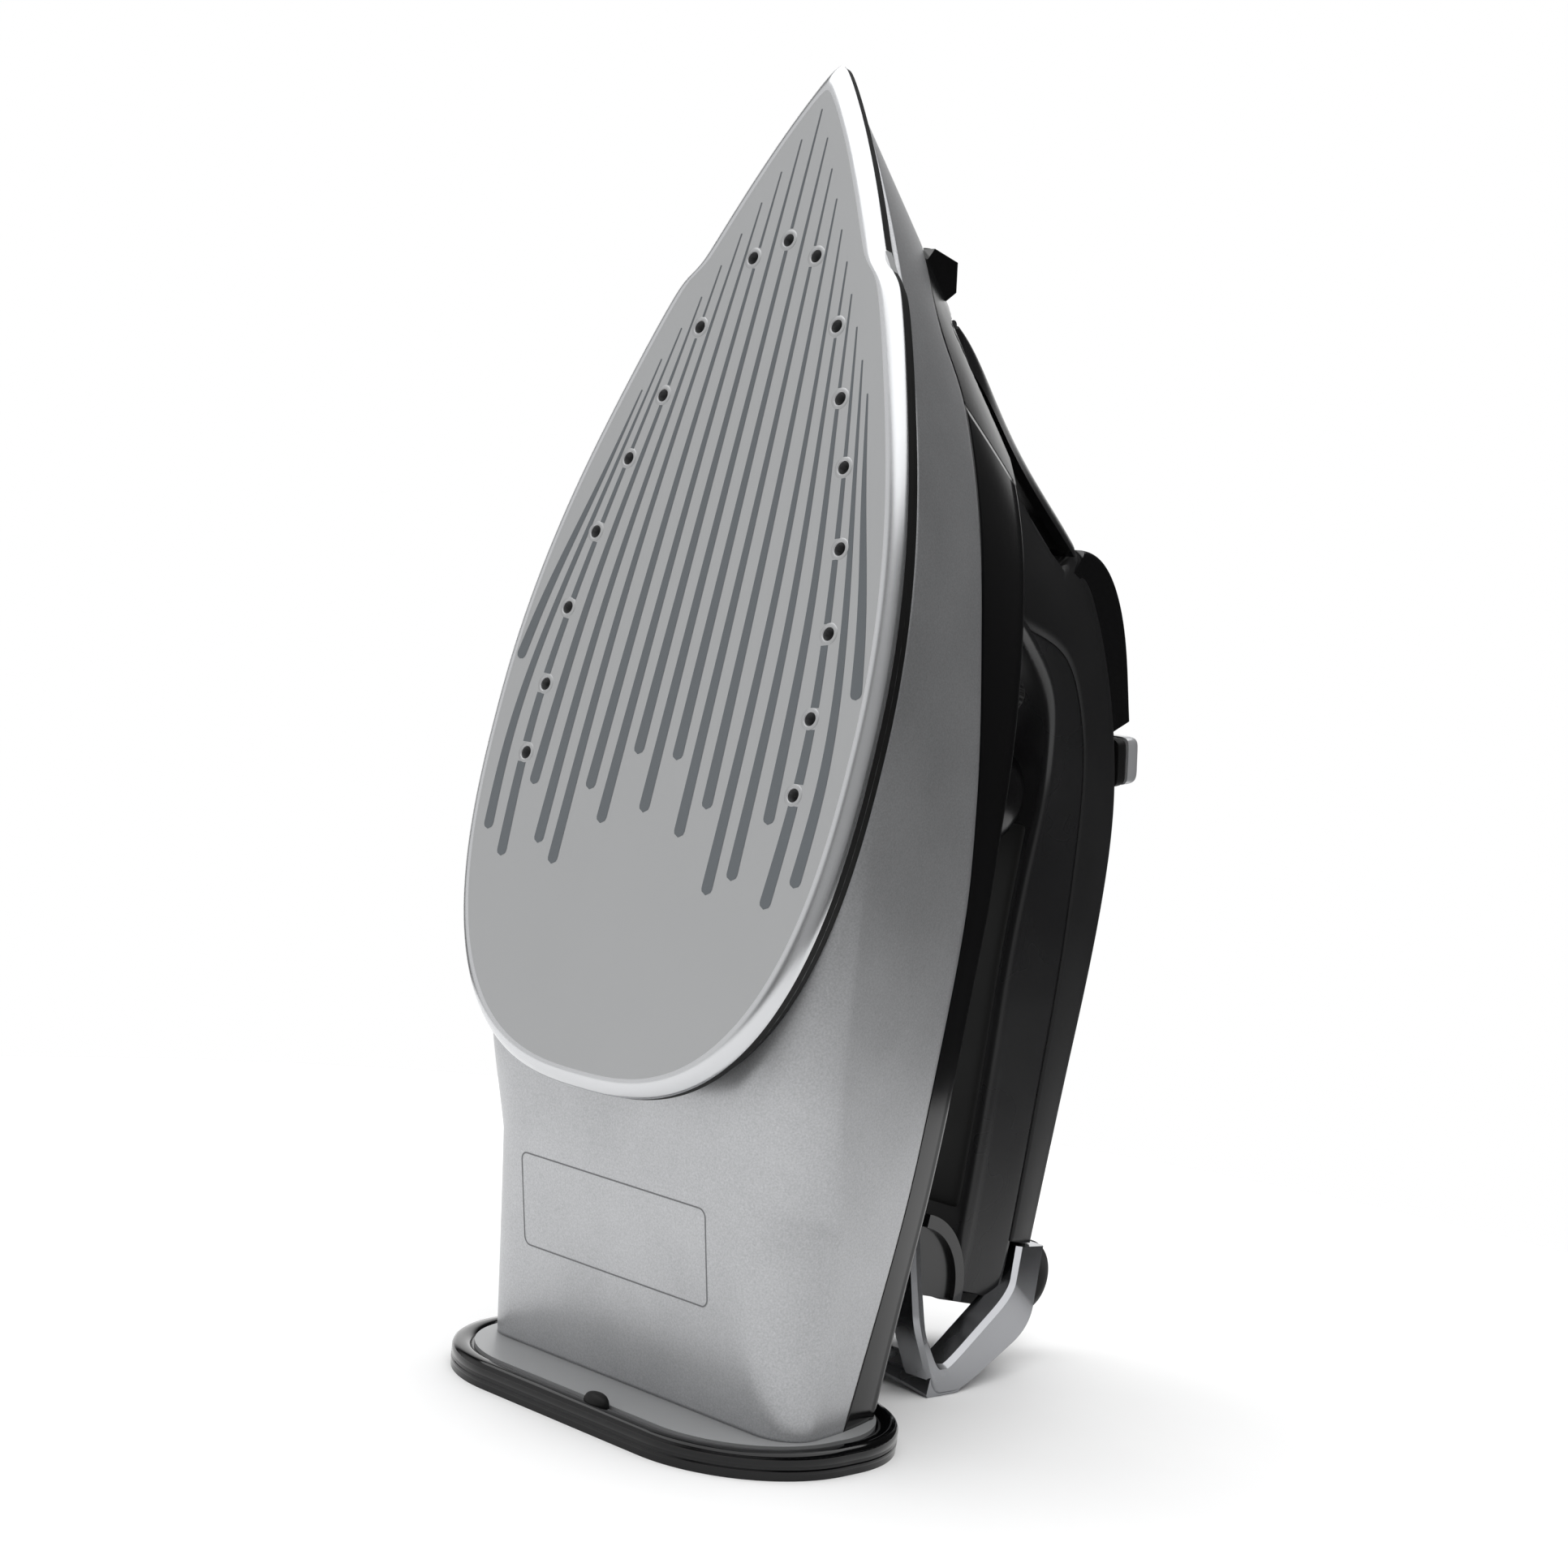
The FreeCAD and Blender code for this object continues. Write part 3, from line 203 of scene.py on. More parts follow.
# dark grey gloss: a shade lighter and softer than the band, so the nose reads as its own moulding
noseAbs = finish("darkGreyMouldedAbs", "#161617", "#121213", 0.2, 0.04, 1.4, 0.002, IOR=1.54)
# fine spark-eroded grain: a dull dark grey that spreads every highlight
mattNylon = finish("sparkErodedNylon", "#1b1b1c", "#171718", 0.5, 0.05, 0.35, 0.01, IOR=1.53,
                   Specular_IOR_Level=0.35)
# half gloss black: highlights with soft ends
softGloss = finish("semiGlossMouldedAbs", "#0f0f10", "#0b0b0c", 0.24, 0.04, 1.2, 0.002, IOR=1.54)
# polished black: small bright glints on the rounded edges of the keys
keyAbs = finish("polishedMouldedAbs", "#101011", "#0c0c0d", 0.14, 0.03, 1.6, 0.002, IOR=1.54)
# soft-touch coat: almost no highlight, the darkest surface of the handle
gripRubber = finish("softTouchElastomer", "#0c0c0c", "#080808", 0.68, 0.05, 0.3, 0.02, IOR=1.5)
# filled nylon: dry, slightly mottled black
heatNylon = finish("glassFilledNylon", "#0e0e0e", "#0a0a0a", 0.6, 0.05, 0.4, 0.005, IOR=1.53,
                   Specular_IOR_Level=0.25)
# piano black: mirror-like edge highlights on deep black
smokeAbs = finish("pianoBlackMouldedPolycarbonate", "#060607", "#030304", 0.09, 0.02, 2.0, 0.001, IOR=1.58,
                  Specular_IOR_Level=0.3)
# moulded rubber: dull black with a faint leathery grain
cordRubber = finish("mouldedCordRubber", "#0a0a0a", "#060606", 0.6, 0.05, 0.35, 0.02, IOR=1.5)
# natural moulding: plain dull grey, seen only inside
innerPlastic = finish("naturalMouldedPolypropylene", "#3a3a3c", "#303032", 0.5, 0.05, 0.5, 0.01, IOR=1.49)
# smoked clear moulding: glossy blue grey, seen only inside
tankPlastic = finish("clearSmokedStyreneAcrylic", "#5a6066", "#4c5258", 0.12, 0.03, 1.5, 0.001, IOR=1.57)
# pressed silicone: dull brick red, seen only inside
siliconeRed = finish("pressedSilicone", "#7a2a1c", "#6a2216", 0.6, 0.04, 0.5, 0.01, IOR=1.41)
# amber lens: saturated and glossy
lensAmber = finish("amberMouldedAcrylic", "#c8551a", "#b04410", 0.15, 0.03, 1.5, 0.001, IOR=1.49)
# die-cast skin: dark mottled metal with a rough sparkle
castAlloy = finish("dieCastAluminium", "#4c4c4e", "#38383a", 0.55, 0.06, 0.6, 0.03, Metallic=0.9)
# zinc plate: cool, even metal with blurred reflections
platedSteel = finish("zincPlatedSteel", "#a5a6a8", "#8f9092", 0.34, 0.05, 0.5, 0.01, Metallic=1.0)
# heat tint: straw to violet metal in patches
heatedSteel = finish("heatTintedSteel", "#8a7a66", "#6c6870", 0.36, 0.06, 0.5, 0.01, Metallic=1.0)
# turned brass: warm metal with fairly sharp reflections
turnedBrass = finish("turnedBrass", "#c9a55a", "#b48f46", 0.28, 0.05, 0.4, 0.01, Metallic=1.0)
# satin chrome: grey metal whose reflections blur evenly
satinChrome = finish("satinChromePlatedAbs", "#a4a5a8", "#98999c", 0.26, 0.03, 0.3, 0.003, Metallic=1.0)
# satin spray: light grey with a weak metallic sheen
greyTrim = finish("satinSprayedTrim", "#a2a3a4", "#999a9b", 0.4, 0.04, 0.35, 0.002, Metallic=0.2)
# anodised sole: pale, even grey that hardly darkens towards the edges
soleAlloy = finish("satinAnodisedAluminium", "#b4b5b6", "#b0b1b2", 0.4, 0.03, 0.25, 0.003, Metallic=0.8)
# polished bevel: the bright line that frames the sole
rimAlloy = finish("polishedAluminiumBevel", "#cfd0d2", "#c8c9cb", 0.24, 0.03, 0.4, 0.0004, Metallic=0.9)
# fired print: flat blue grey, duller than the metal round it
linePrint = finish("firedEnamelPrint", "#62676b", "#5b6064", 0.5, 0.04, 0.4, 0.004, IOR=1.5)
# metallic spray: silver with tiny flakes that glitter and a soft gradient over curves
silverPaint = finish("metallicSprayedPolypropylene", "#c2c3c5", "#a8a9ab", 0.38, 0.02, 0.42, 0.003, fleck=1.8,
                     Metallic=0.65)
# half gloss nylon: a dark grey, lighter than the black of the handle's underside, painted sheen that stands in for the
# broad soft light reflected there
innerPaintedSheenGloss = finish("semiGlossNylonPaintedSheen", "#252526", "#1f1f20", 0.27, 0.04, 1.2, 0.002, IOR=1.53)
# sprayed silver: bright and plain, without visible flakes
sliderSilver = finish("silverSprayedAbs", "#d2d3d5", "#c8c9cb", 0.3, 0.03, 0.3, 0.002, Metallic=0.45)
# seam line: a thin grey shadow in the silver
seamShade = finish("shadedMouldSeam", "#77787a", "#6f7072", 0.5, 0.03, 0.3, 0.002, Metallic=0.3)
print("materials made")

looks = {
    "soleplate": soleAlloy, "heater_casting": castAlloy, "heating_element": heatedSteel,
    "chamber_gasket": siliconeRed, "chamber_lid": castAlloy, "heat_shield": heatNylon, "thermostat": turnedBrass,
    "thermal_fuse": platedSteel, "lower_shell": silverPaint, "upper_housing": blackAbs, "nose_cover": noseAbs,
    "water_tank": tankPlastic, "filler_neck": innerPlastic, "filler_tray": innerPlastic, "fill_door": noseAbs,
    "door_hinge_pin": platedSteel, "spray_nozzle": keyAbs, "nozzle_tip": heatNylon, "handle_shell": mattNylon,
    "indicator_lens": lensAmber, "grip_insert": gripRubber, "handle_underside": softGloss, "spray_button": keyAbs,
    "spray_plunger": innerPlastic, "steam_button": keyAbs, "steam_plunger": innerPlastic,
    "pump_barrels": innerPlastic, "button_springs": platedSteel, "steam_track": heatNylon,
    "steam_slider": satinChrome, "temperature_dial": softGloss, "dial_shaft": platedSteel,
    "dial_pedestal": softGloss, "self_clean_knob": heatNylon, "self_clean_rod": platedSteel,
    "valve_rod": platedSteel, "steam_valve": turnedBrass, "rear_pillar": softGloss, "pillar_rim": keyAbs,
    "tail_loop": satinChrome, "tail_cover": mattNylon, "loop_wall": blackAbs, "cord_swivel": heatNylon,
    "cord_gland": cordRubber, "cord_ring": cordRubber, "heel_plate": smokeAbs, "heel_trim": greyTrim,
    "latch_tab": heatNylon, "heel_screws": platedSteel, "terminal_block": innerPlastic,
}
for name, look in looks.items():
    nodes[name].data.materials.clear()
    nodes[name].data.materials.append(look)

# soleplate's outline in mm; insets draw the tip back further than the sides
sole = {"half": 59.0, "tip": 296.4, "rear": 60.8, "tipGain": 1.2, "tipInset": 1.9, "ogive": 0.9,
        "rearEase": 0.75, "rearPower": 2.6, "rearRoot": 2.7, "frontEase": 1.5,
        "shoulder": 247.0, "step": 1.3, "stepSoft": 2.5, "stepRun": 22, "stepEnd": 20}


def soleOutline(inset, count=150):
    # rear: superellipse; front: a sine raised to 0.9 with a small shoulder; the tip rounded as a hyperbola
    half, tip, rear = sole["half"] - inset, sole["tip"] - sole["tipInset"] * inset, sole["rear"] + inset
    k = np.linspace(0, 1, count)
    share = np.cos(np.pi / 2 * k) ** sole["rearEase"]
    rearSide = np.stack([half * (1 - share ** sole["rearPower"]) ** (1 / sole["rearRoot"]),
                         body["widest"] - share * (body["widest"] - rear)], -1)
    share = (1 - k[1:]) ** sole["frontEase"]
    gain = sole["tipGain"]
    span = tip + gain - body["widest"]
    station = tip - share * (tip - body["widest"])
    ogive = half * np.sin(np.pi / 2 * (tip + gain - station) / span) ** sole["ogive"]
    first = half * math.sin(math.pi / 2 * gain / span) ** sole["ogive"]
    ahead = sole["shoulder"] - station
    step = sole["step"] * np.tanh(ahead / sole["stepSoft"]) * np.exp(-((ahead / sole["stepRun"]) ** 2))
    step *= np.clip((tip - station) / sole["stepEnd"], 0, 1)
    frontSide = np.stack([np.sqrt(np.maximum(ogive**2 - first**2, 0)) + step, station], -1)
    right = np.vstack([rearSide, frontSide])
    left = right[-2:0:-1] * (-1, 1)
    return np.vstack([right, left])


def soleRings(profile):
    # one ring of the sole's outline for each inset and height of the profile
    outlines = [(soleOutline(inset), height) for inset, height in profile]
    return np.array([np.column_stack([np.full(len(line), height), line]) for line, height in outlines])


# bright bevel round the sole: an open section of insets and heights swept along the outline
rim = {"profile": [(3.6, 0.0), (3.0, -0.05), (2.3, 0.15), (1.5, 0.6), (0.8, 1.25), (0.2, 2.1), (-0.12, 2.6),
                   (-0.12, 3.1), (0.1, 3.3)]}
soleRim = surface("soleRim", soleRings(rim["profile"]), wrap=True)
place(soleRim, "iron", "sole_metal", rimAlloy)

# dark skirt between the bright rim and the silver body, swept in the same way
skirt = {"profile": [(0.3, 3.15), (-0.05, 3.3), (-0.05, 4.9), (0.5, 5.15), (1.7, 5.3), (2.2, 6.2), (2.4, 9.3),
                     (4.2, 9.3), (4.2, 5.2)]}
heatSkirt = surface("heatSkirt", soleRings(skirt["profile"]), wrap=True)
place(heatSkirt, "iron", "heat_black", heatNylon)

# steam holes as side and station, one half of them: each gets a turned lip, a section of radius and height
vents = [(0.0, 254.0), (9.8, 250.0), (21.3, 233.7), (27.7, 217.3), (33.7, 202.0), (38.4, 184.2), (41.2, 165.8),
         (42.0, 147.4), (42.6, 131.0)]
ventPlaces = np.array(vents + [(-y, z) for y, z in vents[1:]])
ventRing = {"profile": [(1.52, 0.6), (1.55, 0.1), (1.75, -0.07), (2.35, -0.07), (2.5, 0.02)], "sides": 32}
angle = np.linspace(0, 2 * np.pi, ventRing["sides"], endpoint=False)
points, faces = [], []
for side, station in ventPlaces:
    grid = np.array([np.stack([np.full(len(angle), h), side + r * np.cos(angle), station + r * np.sin(angle)], -1)
                     for r, h in ventRing["profile"]])
    faces += gridFaces(len(grid), len(angle), True, len(points) * len(grid) * len(angle))
    points.append(grid)
ventRings = pieceFrom("ventRings", stand(np.array(points)), faces, pivot=(0.2, 0, 0.15))
place(ventRings, "iron", "sole_metal", soleAlloy)

# printed glide lines: station from the front vent and side, from the fine end to the broad end
glideLines = [
    [(31, 0), (-50, 0), (-132, 0)],
    [(24, 4), (-50, 5.3), (-119.5, 6.2)],
    [(16.5, 7.8), (-60, 10.8), (-136, 12.5)],
    [(9.3, 11.6), (-60, 16.2), (-129, 18.7)],
    [(2, 15.5), (-40, 20), (-85, 23.5), (-147, 24.8)],
    [(-5.5, 19.5), (-45, 24.5), (-85, 29), (-143, 31)],
    [(-13, 23.3), (-42, 28), (-80, 34), (-130, 37.5)],
    [(-20.5, 27.3), (-50, 33.5), (-85, 40), (-115, 43.2), (-147.5, 42.2)],
    [(-28, 31.3), (-58, 38.5), (-88, 45.5), (-120, 49.7), (-142, 49)],
    [(-35.5, 35.2), (-60, 42), (-87, 50), (-101.5, 53.2)],
]
# each line is a ribbon round a cubic curve, widening evenly, with a half round end, and left out near a hole
glide = {"fine": 0.2, "broad": 1.6, "lift": 0.04, "samples": 220, "ventGap": 2.2}
points, faces, total = [], [], 0
for line in glideLines:
    for sign in ((1, -1) if line[0][1] else (1,)):
        knots = np.array(line, float)
        t = np.linspace(0, 1, glide["samples"])
        lengths = np.r_[0, np.cumsum(np.hypot(*np.diff(knots, axis=0).T))]
        centre = spline(lengths, knots, t * lengths[-1])
        centre = np.stack([sign * centre[:, 1], centre[:, 0] + vents[0][1]], -1)
        along = np.gradient(centre, axis=0)
        across = np.stack([along[:, 1], -along[:, 0]], -1) / np.linalg.norm(along, axis=1)[:, None]
        half = glide["fine"] + (glide["broad"] - glide["fine"]) * t
        left = (1 - t) * lengths[-1] / glide["broad"]
        half *= np.sqrt(1 - np.clip(1 - left, 0, 1) ** 2)
        away = np.linalg.norm(centre[:, None] - ventPlaces, axis=2).min(1)
        for run in np.split(np.arange(len(t)), np.flatnonzero(np.diff(away < glide["ventGap"]) != 0) + 1):
            if away[run[0]] < glide["ventGap"] or len(run) < 2:
                continue
            edges = centre[run, None] + across[run, None] * half[run, None, None] * np.array([-1, 1])[None, :, None]
            grid = np.concatenate([np.full(edges.shape[:2] + (1,), -glide["lift"]), edges], -1)
            faces += gridFaces(len(run), 2, start=total)
            points.append(grid.reshape(-1, 3))
            total += 2 * len(run)
glidePrint = pieceFrom("glidePrint", stand(np.vstack(points)), faces, pivot=(0.2, 0, 0.15), merge=0.001)
place(glidePrint, "iron", "sole_metal", linePrint)
print("sole dressed")

# body shells: lines as station and height, for the silver edge along the side, at the nose, and the deck's edge
shell = {"low": 9.0, "heelFrom": 70.0, "heelRise": 0.4041, "heelEase": 10.0, "wall": 1.6, "settle": 4,
         "stations": [(0, 60, 70), (60.5, 80, 40), (81, 285, 150), (285.4, 291.2, 16)],
         "steps": (16, 14, 34), "cornerFront": 1.2, "cornerHeel": 20.0, "cornerFrom": 150, "cornerRun": 115,
         "cornerMost": 0.45, "flankLeast": 0.02, "openFrom": 68, "openInset": 9, "faceLeast": 0.5}
seam = {"station": 229, "slant": 0.25, "height": 46}
bandLine = [(-45, 56), (-1, 58), (29, 61), (54, 62.7), (80, 61.6), (105, 59.6), (123, 56.6), (140, 51), (157, 45.4),
            (175, 41.6), (193, 40.6), (211, 40.6), (229, 40.6)]
noseLine = [(229, 40.6), (236, 38.2), (241, 34.8), (247, 32.2), (253, 32.2), (260, 33.8), (267, 36.0), (272, 37.0),
            (285, 38)]
deckLine = [(-45, 73), (3.5, 74), (34, 74.4), (54, 75), (79, 73.8), (104, 71.5), (124, 69.5), (144, 66), (164, 64.6),
            (182.5, 65.8), (199.5, 69.5), (217, 74), (262, 80)]


def lineHeight(line, station):
    # height of one of those lines at a station, by a cubic curve through its points
    knots, heights = np.array(line, float).T
    return spline(knots, heights, station)[..., 0]


def ridgeHeight(station):
    # height of the raked front line above the sole, a straight fall towards the tip
    return (body["tip"] - station) / rakeSlope


def halfWidth(h, z):
    # ahead of the widest station a sine raised to 0.9 with a rounded nose, behind it a slow taper
    base, slopeBy, bendBy = body["half"]
    half = base - slopeBy * h - bendBy * h**2
    tip = body["tip"] - rakeSlope * h
    span = tip + body["noseGain"] - body["widest"]
    ahead = np.clip((tip + body["noseGain"] - z) / span, 0, 1)
    first = half * np.sin(np.pi / 2 * body["noseGain"] / span) ** body["ogive"]
    front = np.sqrt(np.maximum((half * np.sin(np.pi / 2 * ahead) ** body["ogive"]) ** 2 - first**2, 0))
    front *= half / np.sqrt(half**2 - first**2)
    rearHalf = body["rearHalf"] - body["pinch"] * np.maximum(0, (h - body["pinchFrom"]) / body["pinchRun"]) ** 2
    behind = np.clip((body["widest"] - z) / (body["widest"] + body["behind"]), 0, 1)
    return np.where(z > body["widest"], front, half - (half - rearHalf) * behind ** body["taper"])


def floorSkew(h, row):
    # pulls the last rows onto the level of the heel trim
    base = (stance["heelTop"] - stance["plateThick"]) / cosLean
    tilt = (h - stance["heelHeight"]) * sinLean / cosLean
    fade = np.clip(1 - row / stance["skewRun"], 0, 1) ** 2
    return row + fade * (base + tilt)


def smooth(share):
    # an even ease from nought to one
    share = np.clip(share, 0, 1)
    return share * share * (3 - 2 * share)


outlineRight = soleOutline(0)
outlineRight = outlineRight[:len(outlineRight) // 2 + 1]


def soleHalf(z):
    # the sole's half width at a station, read off its outline
    order = np.argsort(outlineRight[:, 1])
    return np.interp(z, outlineRight[order, 1], outlineRight[order, 0], left=0, right=0)


def underside(z):
    # flat under the sole, sloping up towards the heel; a square root rounds the change between the two
    ahead = shell["heelFrom"] - z
    return shell["low"] + 0.5 * (ahead + np.sqrt(ahead**2 + shell["heelEase"] ** 2)) * shell["heelRise"]


# lower shell: underside, a quarter circle corner that swells towards the heel, then the flank up to the band
rows = np.concatenate([np.linspace(*part) for part in shell["stations"]])
under, corner, flank = shell["steps"]
station = np.repeat(rows[:, None], under + corner + flank, 1)
for _ in range(shell["settle"]):
    bottom = underside(station)
    top = np.minimum(np.where(station > seam["station"], lineHeight(noseLine, station), lineHeight(bandLine, station)),
                     ridgeHeight(station))
    radius = shell["cornerFront"] + (shell["cornerHeel"] - shell["cornerFront"]) * smooth(
        (shell["cornerFrom"] - station) / shell["cornerRun"])
    room = np.minimum(halfWidth(bottom, station), np.maximum(top - bottom, shell["flankLeast"]))
    radius = np.minimum(radius, shell["cornerMost"] * room)
    share = np.concatenate([np.zeros(under + corner), np.linspace(0, 1, flank)])
    turn = np.concatenate([np.zeros(under), np.linspace(0, np.pi / 2, corner), np.full(flank, np.pi / 2)])
    height = bottom + radius * (1 - np.cos(turn)) + share * (top - bottom - radius)
    station = floorSkew(height, rows[:, None])
wide = halfWidth(bottom + radius, station)
inner = np.where(rows > shell["openFrom"], np.maximum(soleHalf(rows) - shell["openInset"], 0), 0)[:, None]
inner = np.minimum(inner, np.maximum(wide - radius - shell["faceLeast"], 0))
reach = np.concatenate([np.linspace(0, 1, under), np.ones(corner + flank)])
side = inner + reach * (wide - radius - inner) + radius * np.sin(turn)
side[:, under + corner:] = halfWidth(height, station)[:, under + corner:]
half = np.stack([height, side, station], -1)
whole = np.concatenate([half[:, ::-1] * (1, -1, 1), half], 1)
lowerShell = thicken(surface("lowerShell", whole, pivot=(0.03, 0, 0.15)), shell["wall"])
place(lowerShell, "iron", "silver_shell", silverPaint, "lower_shell")

# upper housing: from the silver edge up the flank, over a rounded deck edge and across the deck
housing = {"edgeRound": 3.5, "rows": 200, "steps": (14, 10, 14), "slantFrom": 150}
edgeRound = housing["edgeRound"]
rows = np.linspace(0, seam["station"], housing["rows"])
flank, corner, deck = housing["steps"]
station = np.repeat(rows[:, None], flank + corner + deck, 1)
for _ in range(shell["settle"]):
    low, top = lineHeight(bandLine, station), lineHeight(deckLine, station)
    share = np.concatenate([np.linspace(0, 1, flank), np.ones(corner + deck)])
    turn = np.concatenate([np.zeros(flank), np.linspace(0, np.pi / 2, corner), np.full(deck, np.pi / 2)])
    height = low + share * (top - edgeRound - low) + edgeRound * np.sin(turn)
    slant = smooth((rows[:, None] - housing["slantFrom"]) / (seam["station"] - housing["slantFrom"]))
    station = floorSkew(height, rows[:, None]) - seam["slant"] * (height - seam["height"]) * slant
wide = halfWidth(top - edgeRound, station)
reach = np.concatenate([np.ones(flank + corner), np.linspace(1, 0, deck)])
side = (wide - edgeRound) * reach + edgeRound * np.cos(turn)
side[:, :flank] = halfWidth(height, station)[:, :flank]
half = np.stack([height, side, station], -1)
whole = np.concatenate([half, half[:, ::-1] * (1, -1, 1)], 1)
upperHousing = thicken(surface("upperHousing", whole, pivot=(0.03, 0, 0.12)), shell["wall"])
place(upperHousing, "iron", "band_black", blackAbs, "upper_housing")

# nose cover: from the silver edge to the ridge, cut back where the fill door's channel runs
slope = {"start": 54.0, "channel": 12.5, "length": 70.6, "margin": 0.3}
slopeAlong = np.array([math.cos(body["rake"]), 0, -math.sin(body["rake"])])
slopeOut = np.array([math.sin(body["rake"]), 0, math.cos(body["rake"])])
slopeStart = np.array([slope["start"], 0, body["tip"] - rakeSlope * slope["start"]])


def cutChannel(points):
    # presses what lies over the channel's floor down onto it
    along = (points - slopeStart) @ slopeAlong
    depth = -((points - slopeStart) @ slopeOut)
    sunk = (along > -slope["margin"]) & (along < slope["length"]) & (depth < slope["channel"])
    return points - np.where(sunk, slope["channel"] - depth, 0)[..., None] * slopeOut


# rows run from the seam with the housing to the ridge line, columns from the silver edge up and over to the
# middle; the station settles in a few rounds, because the seam slants with the height
nose = {"end": 271.9, "first": 43, "rows": 80, "steps": (26, 14), "settle": 6}
flank, over = nose["steps"]
share = np.concatenate([np.linspace(0, 1, flank), np.ones(over)])
reach = np.concatenate([np.ones(flank), np.linspace(1, 0, over + 1)[1:]])
rows = np.linspace(0, 1, nose["rows"])[:, None]
station = seam["station"] + rows * nose["first"] + 0 * share
for _ in range(nose["settle"]):
    low = lineHeight(noseLine, station)
    top = np.minimum(lineHeight(deckLine, station), ridgeHeight(station))
    height = low + share * np.maximum(top - low, 0)
    seamAt = seam["station"] - seam["slant"] * (height - seam["height"])
    station = seamAt + rows * (nose["end"] - seamAt)
side = halfWidth(height, station) * reach
half = np.stack([height, side, station], -1)
whole = cutChannel(np.concatenate([half, half[:, ::-1] * (1, -1, 1)], 1))
noseCover = thicken(surface("noseCover", whole, pivot=(0.03, 0, 0.2)), shell["wall"])
place(noseCover, "iron", "nose_dark", noseAbs, "nose_cover")
print("body shells made")

# ribs across the handle from its outer line to its inner line: the two ends as height and station, the half
# widths near the top, at the edge between matt and gloss and near the inner end, and how far along that edge lies
ribs = np.array([
    (60, 256, 60, 192, 6.2, 20, 25, 0.97, 0.2),
    (80, 242.3, 78, 190, 7.5, 19, 24, 0.96, 0.2),
    (98, 230, 92, 186, 9.5, 18.5, 21, 0.88, 0.2),
    (115, 218, 106, 178, 13, 18, 18.6, 0.72, 0.2),
    (128, 203, 114, 166, 15, 18, 16.5, 0.64, 0.2),
    (139.6, 184, 118, 154, 16, 18, 15, 0.62, 0.2),
    (150.6, 156, 119.5, 138, 16.5, 18, 14.3, 0.62, 0.2),
    (155.2, 120, 121.5, 113, 16.5, 18, 14, 0.57, 0.2),
    (155.8, 88, 125, 85, 16.5, 18, 14, 0.55, 0.2),
    (156.8, 47, 129, 46, 16.5, 18, 14, 0.53, 0.2),
    (157, 31, 130, 31, 16.5, 17.5, 13.5, 0.53, 0.2),
])
handle = {"wall": 1.4, "step": 0.3, "corner": 3.0, "domePower": 0.9, "facePower": 1.3,
          "shellPlaces": (0.4, 9, 260), "innerPlaces": (0.4, 9.9, 280),
          "domeSteps": 14, "sideSteps": 10, "innerSteps": 14, "roundSteps": 8, "flatSteps": 8}


def ribPoints(along, share, wide):
    # share runs from the outer line to the inner line, wide is the side from the middle, both per rib position
    x0, z0, x1, z1 = [along[:, k:k + 1] for k in range(4)]
    return np.stack([x0 + (x1 - x0) * share, wide, z0 + (z1 - z0) * share], -1)


def handleShell(places):
    # dome: quarter ellipse from the top line to the shoulder; side: nearly flat down to the matt edge
    ribAt = spline(np.arange(len(ribs)), ribs, places)
    topWide, midWide, edge, dome = [ribAt[:, k:k + 1] for k in (4, 5, 7, 8)]
    turn = np.linspace(0, np.pi / 2, handle["domeSteps"])
    sideShare = np.linspace(0, 1, handle["sideSteps"])[1:]
    share = np.concatenate([dome * (1 - np.cos(turn)), dome + sideShare * (edge - dome)], 1)
    wide = np.concatenate([topWide * np.sin(turn) ** handle["domePower"],
                           topWide + (midWide - topWide) * np.sin(np.pi / 2 * sideShare)], 1)
    half = ribPoints(ribAt, share, wide)
    return np.concatenate([half[:, :0:-1] * (1, -1, 1), half], 1)


def handleInner(places, inset):
    # underside face from the matt edge to the lower corner, a rounded corner, then flat to the middle
    ribAt = spline(np.arange(len(ribs)), ribs, places)
    midWide, lowWide, edge = [ribAt[:, k:k + 1] for k in (5, 6, 7)]
    length = np.hypot(ribAt[:, 2:3] - ribAt[:, 0:1], ribAt[:, 3:4] - ribAt[:, 1:2])
    corner = handle["corner"]
    cornerShare = corner / length
    faceShare = np.linspace(0, 1, handle["innerSteps"])
    turn = np.linspace(0, np.pi / 2, handle["roundSteps"])[1:]
    flat = np.linspace(1, 0, handle["flatSteps"])[1:]
    share = np.concatenate([edge + faceShare * (1 - cornerShare - edge), 1 - cornerShare * (1 - np.sin(turn)),
                            1 + 0 * edge + 0 * flat], 1)
    wide = np.concatenate([midWide - inset + (lowWide - midWide) * faceShare ** handle["facePower"],
                           lowWide - inset - corner * (1 - np.cos(turn)), (lowWide - inset - corner) * flat], 1)
    half = ribPoints(ribAt, share, wide)
    return np.concatenate([half, half[:, -2::-1] * (1, -1, 1)], 1)


places = np.linspace(*handle["shellPlaces"])
grid = cutChannel(handleShell(places))
shellPiece = thicken(surface("handleShell", grid, pivot=(0.11, 0, 0.16)), handle["wall"])
place(shellPiece, "iron", "handle_matt", mattNylon, "handle_shell")
places = np.linspace(*handle["innerPlaces"])
innerPiece = thicken(surface("handleInner", handleInner(places, handle["step"]), pivot=(0.11, 0, 0.16)),
                     handle["wall"])
# the underside takes the lighter grey of painted sheen instead of the black of its CAD node
place(innerPiece, "iron", "grip_gloss", innerPaintedSheenGloss, "handle_underside")

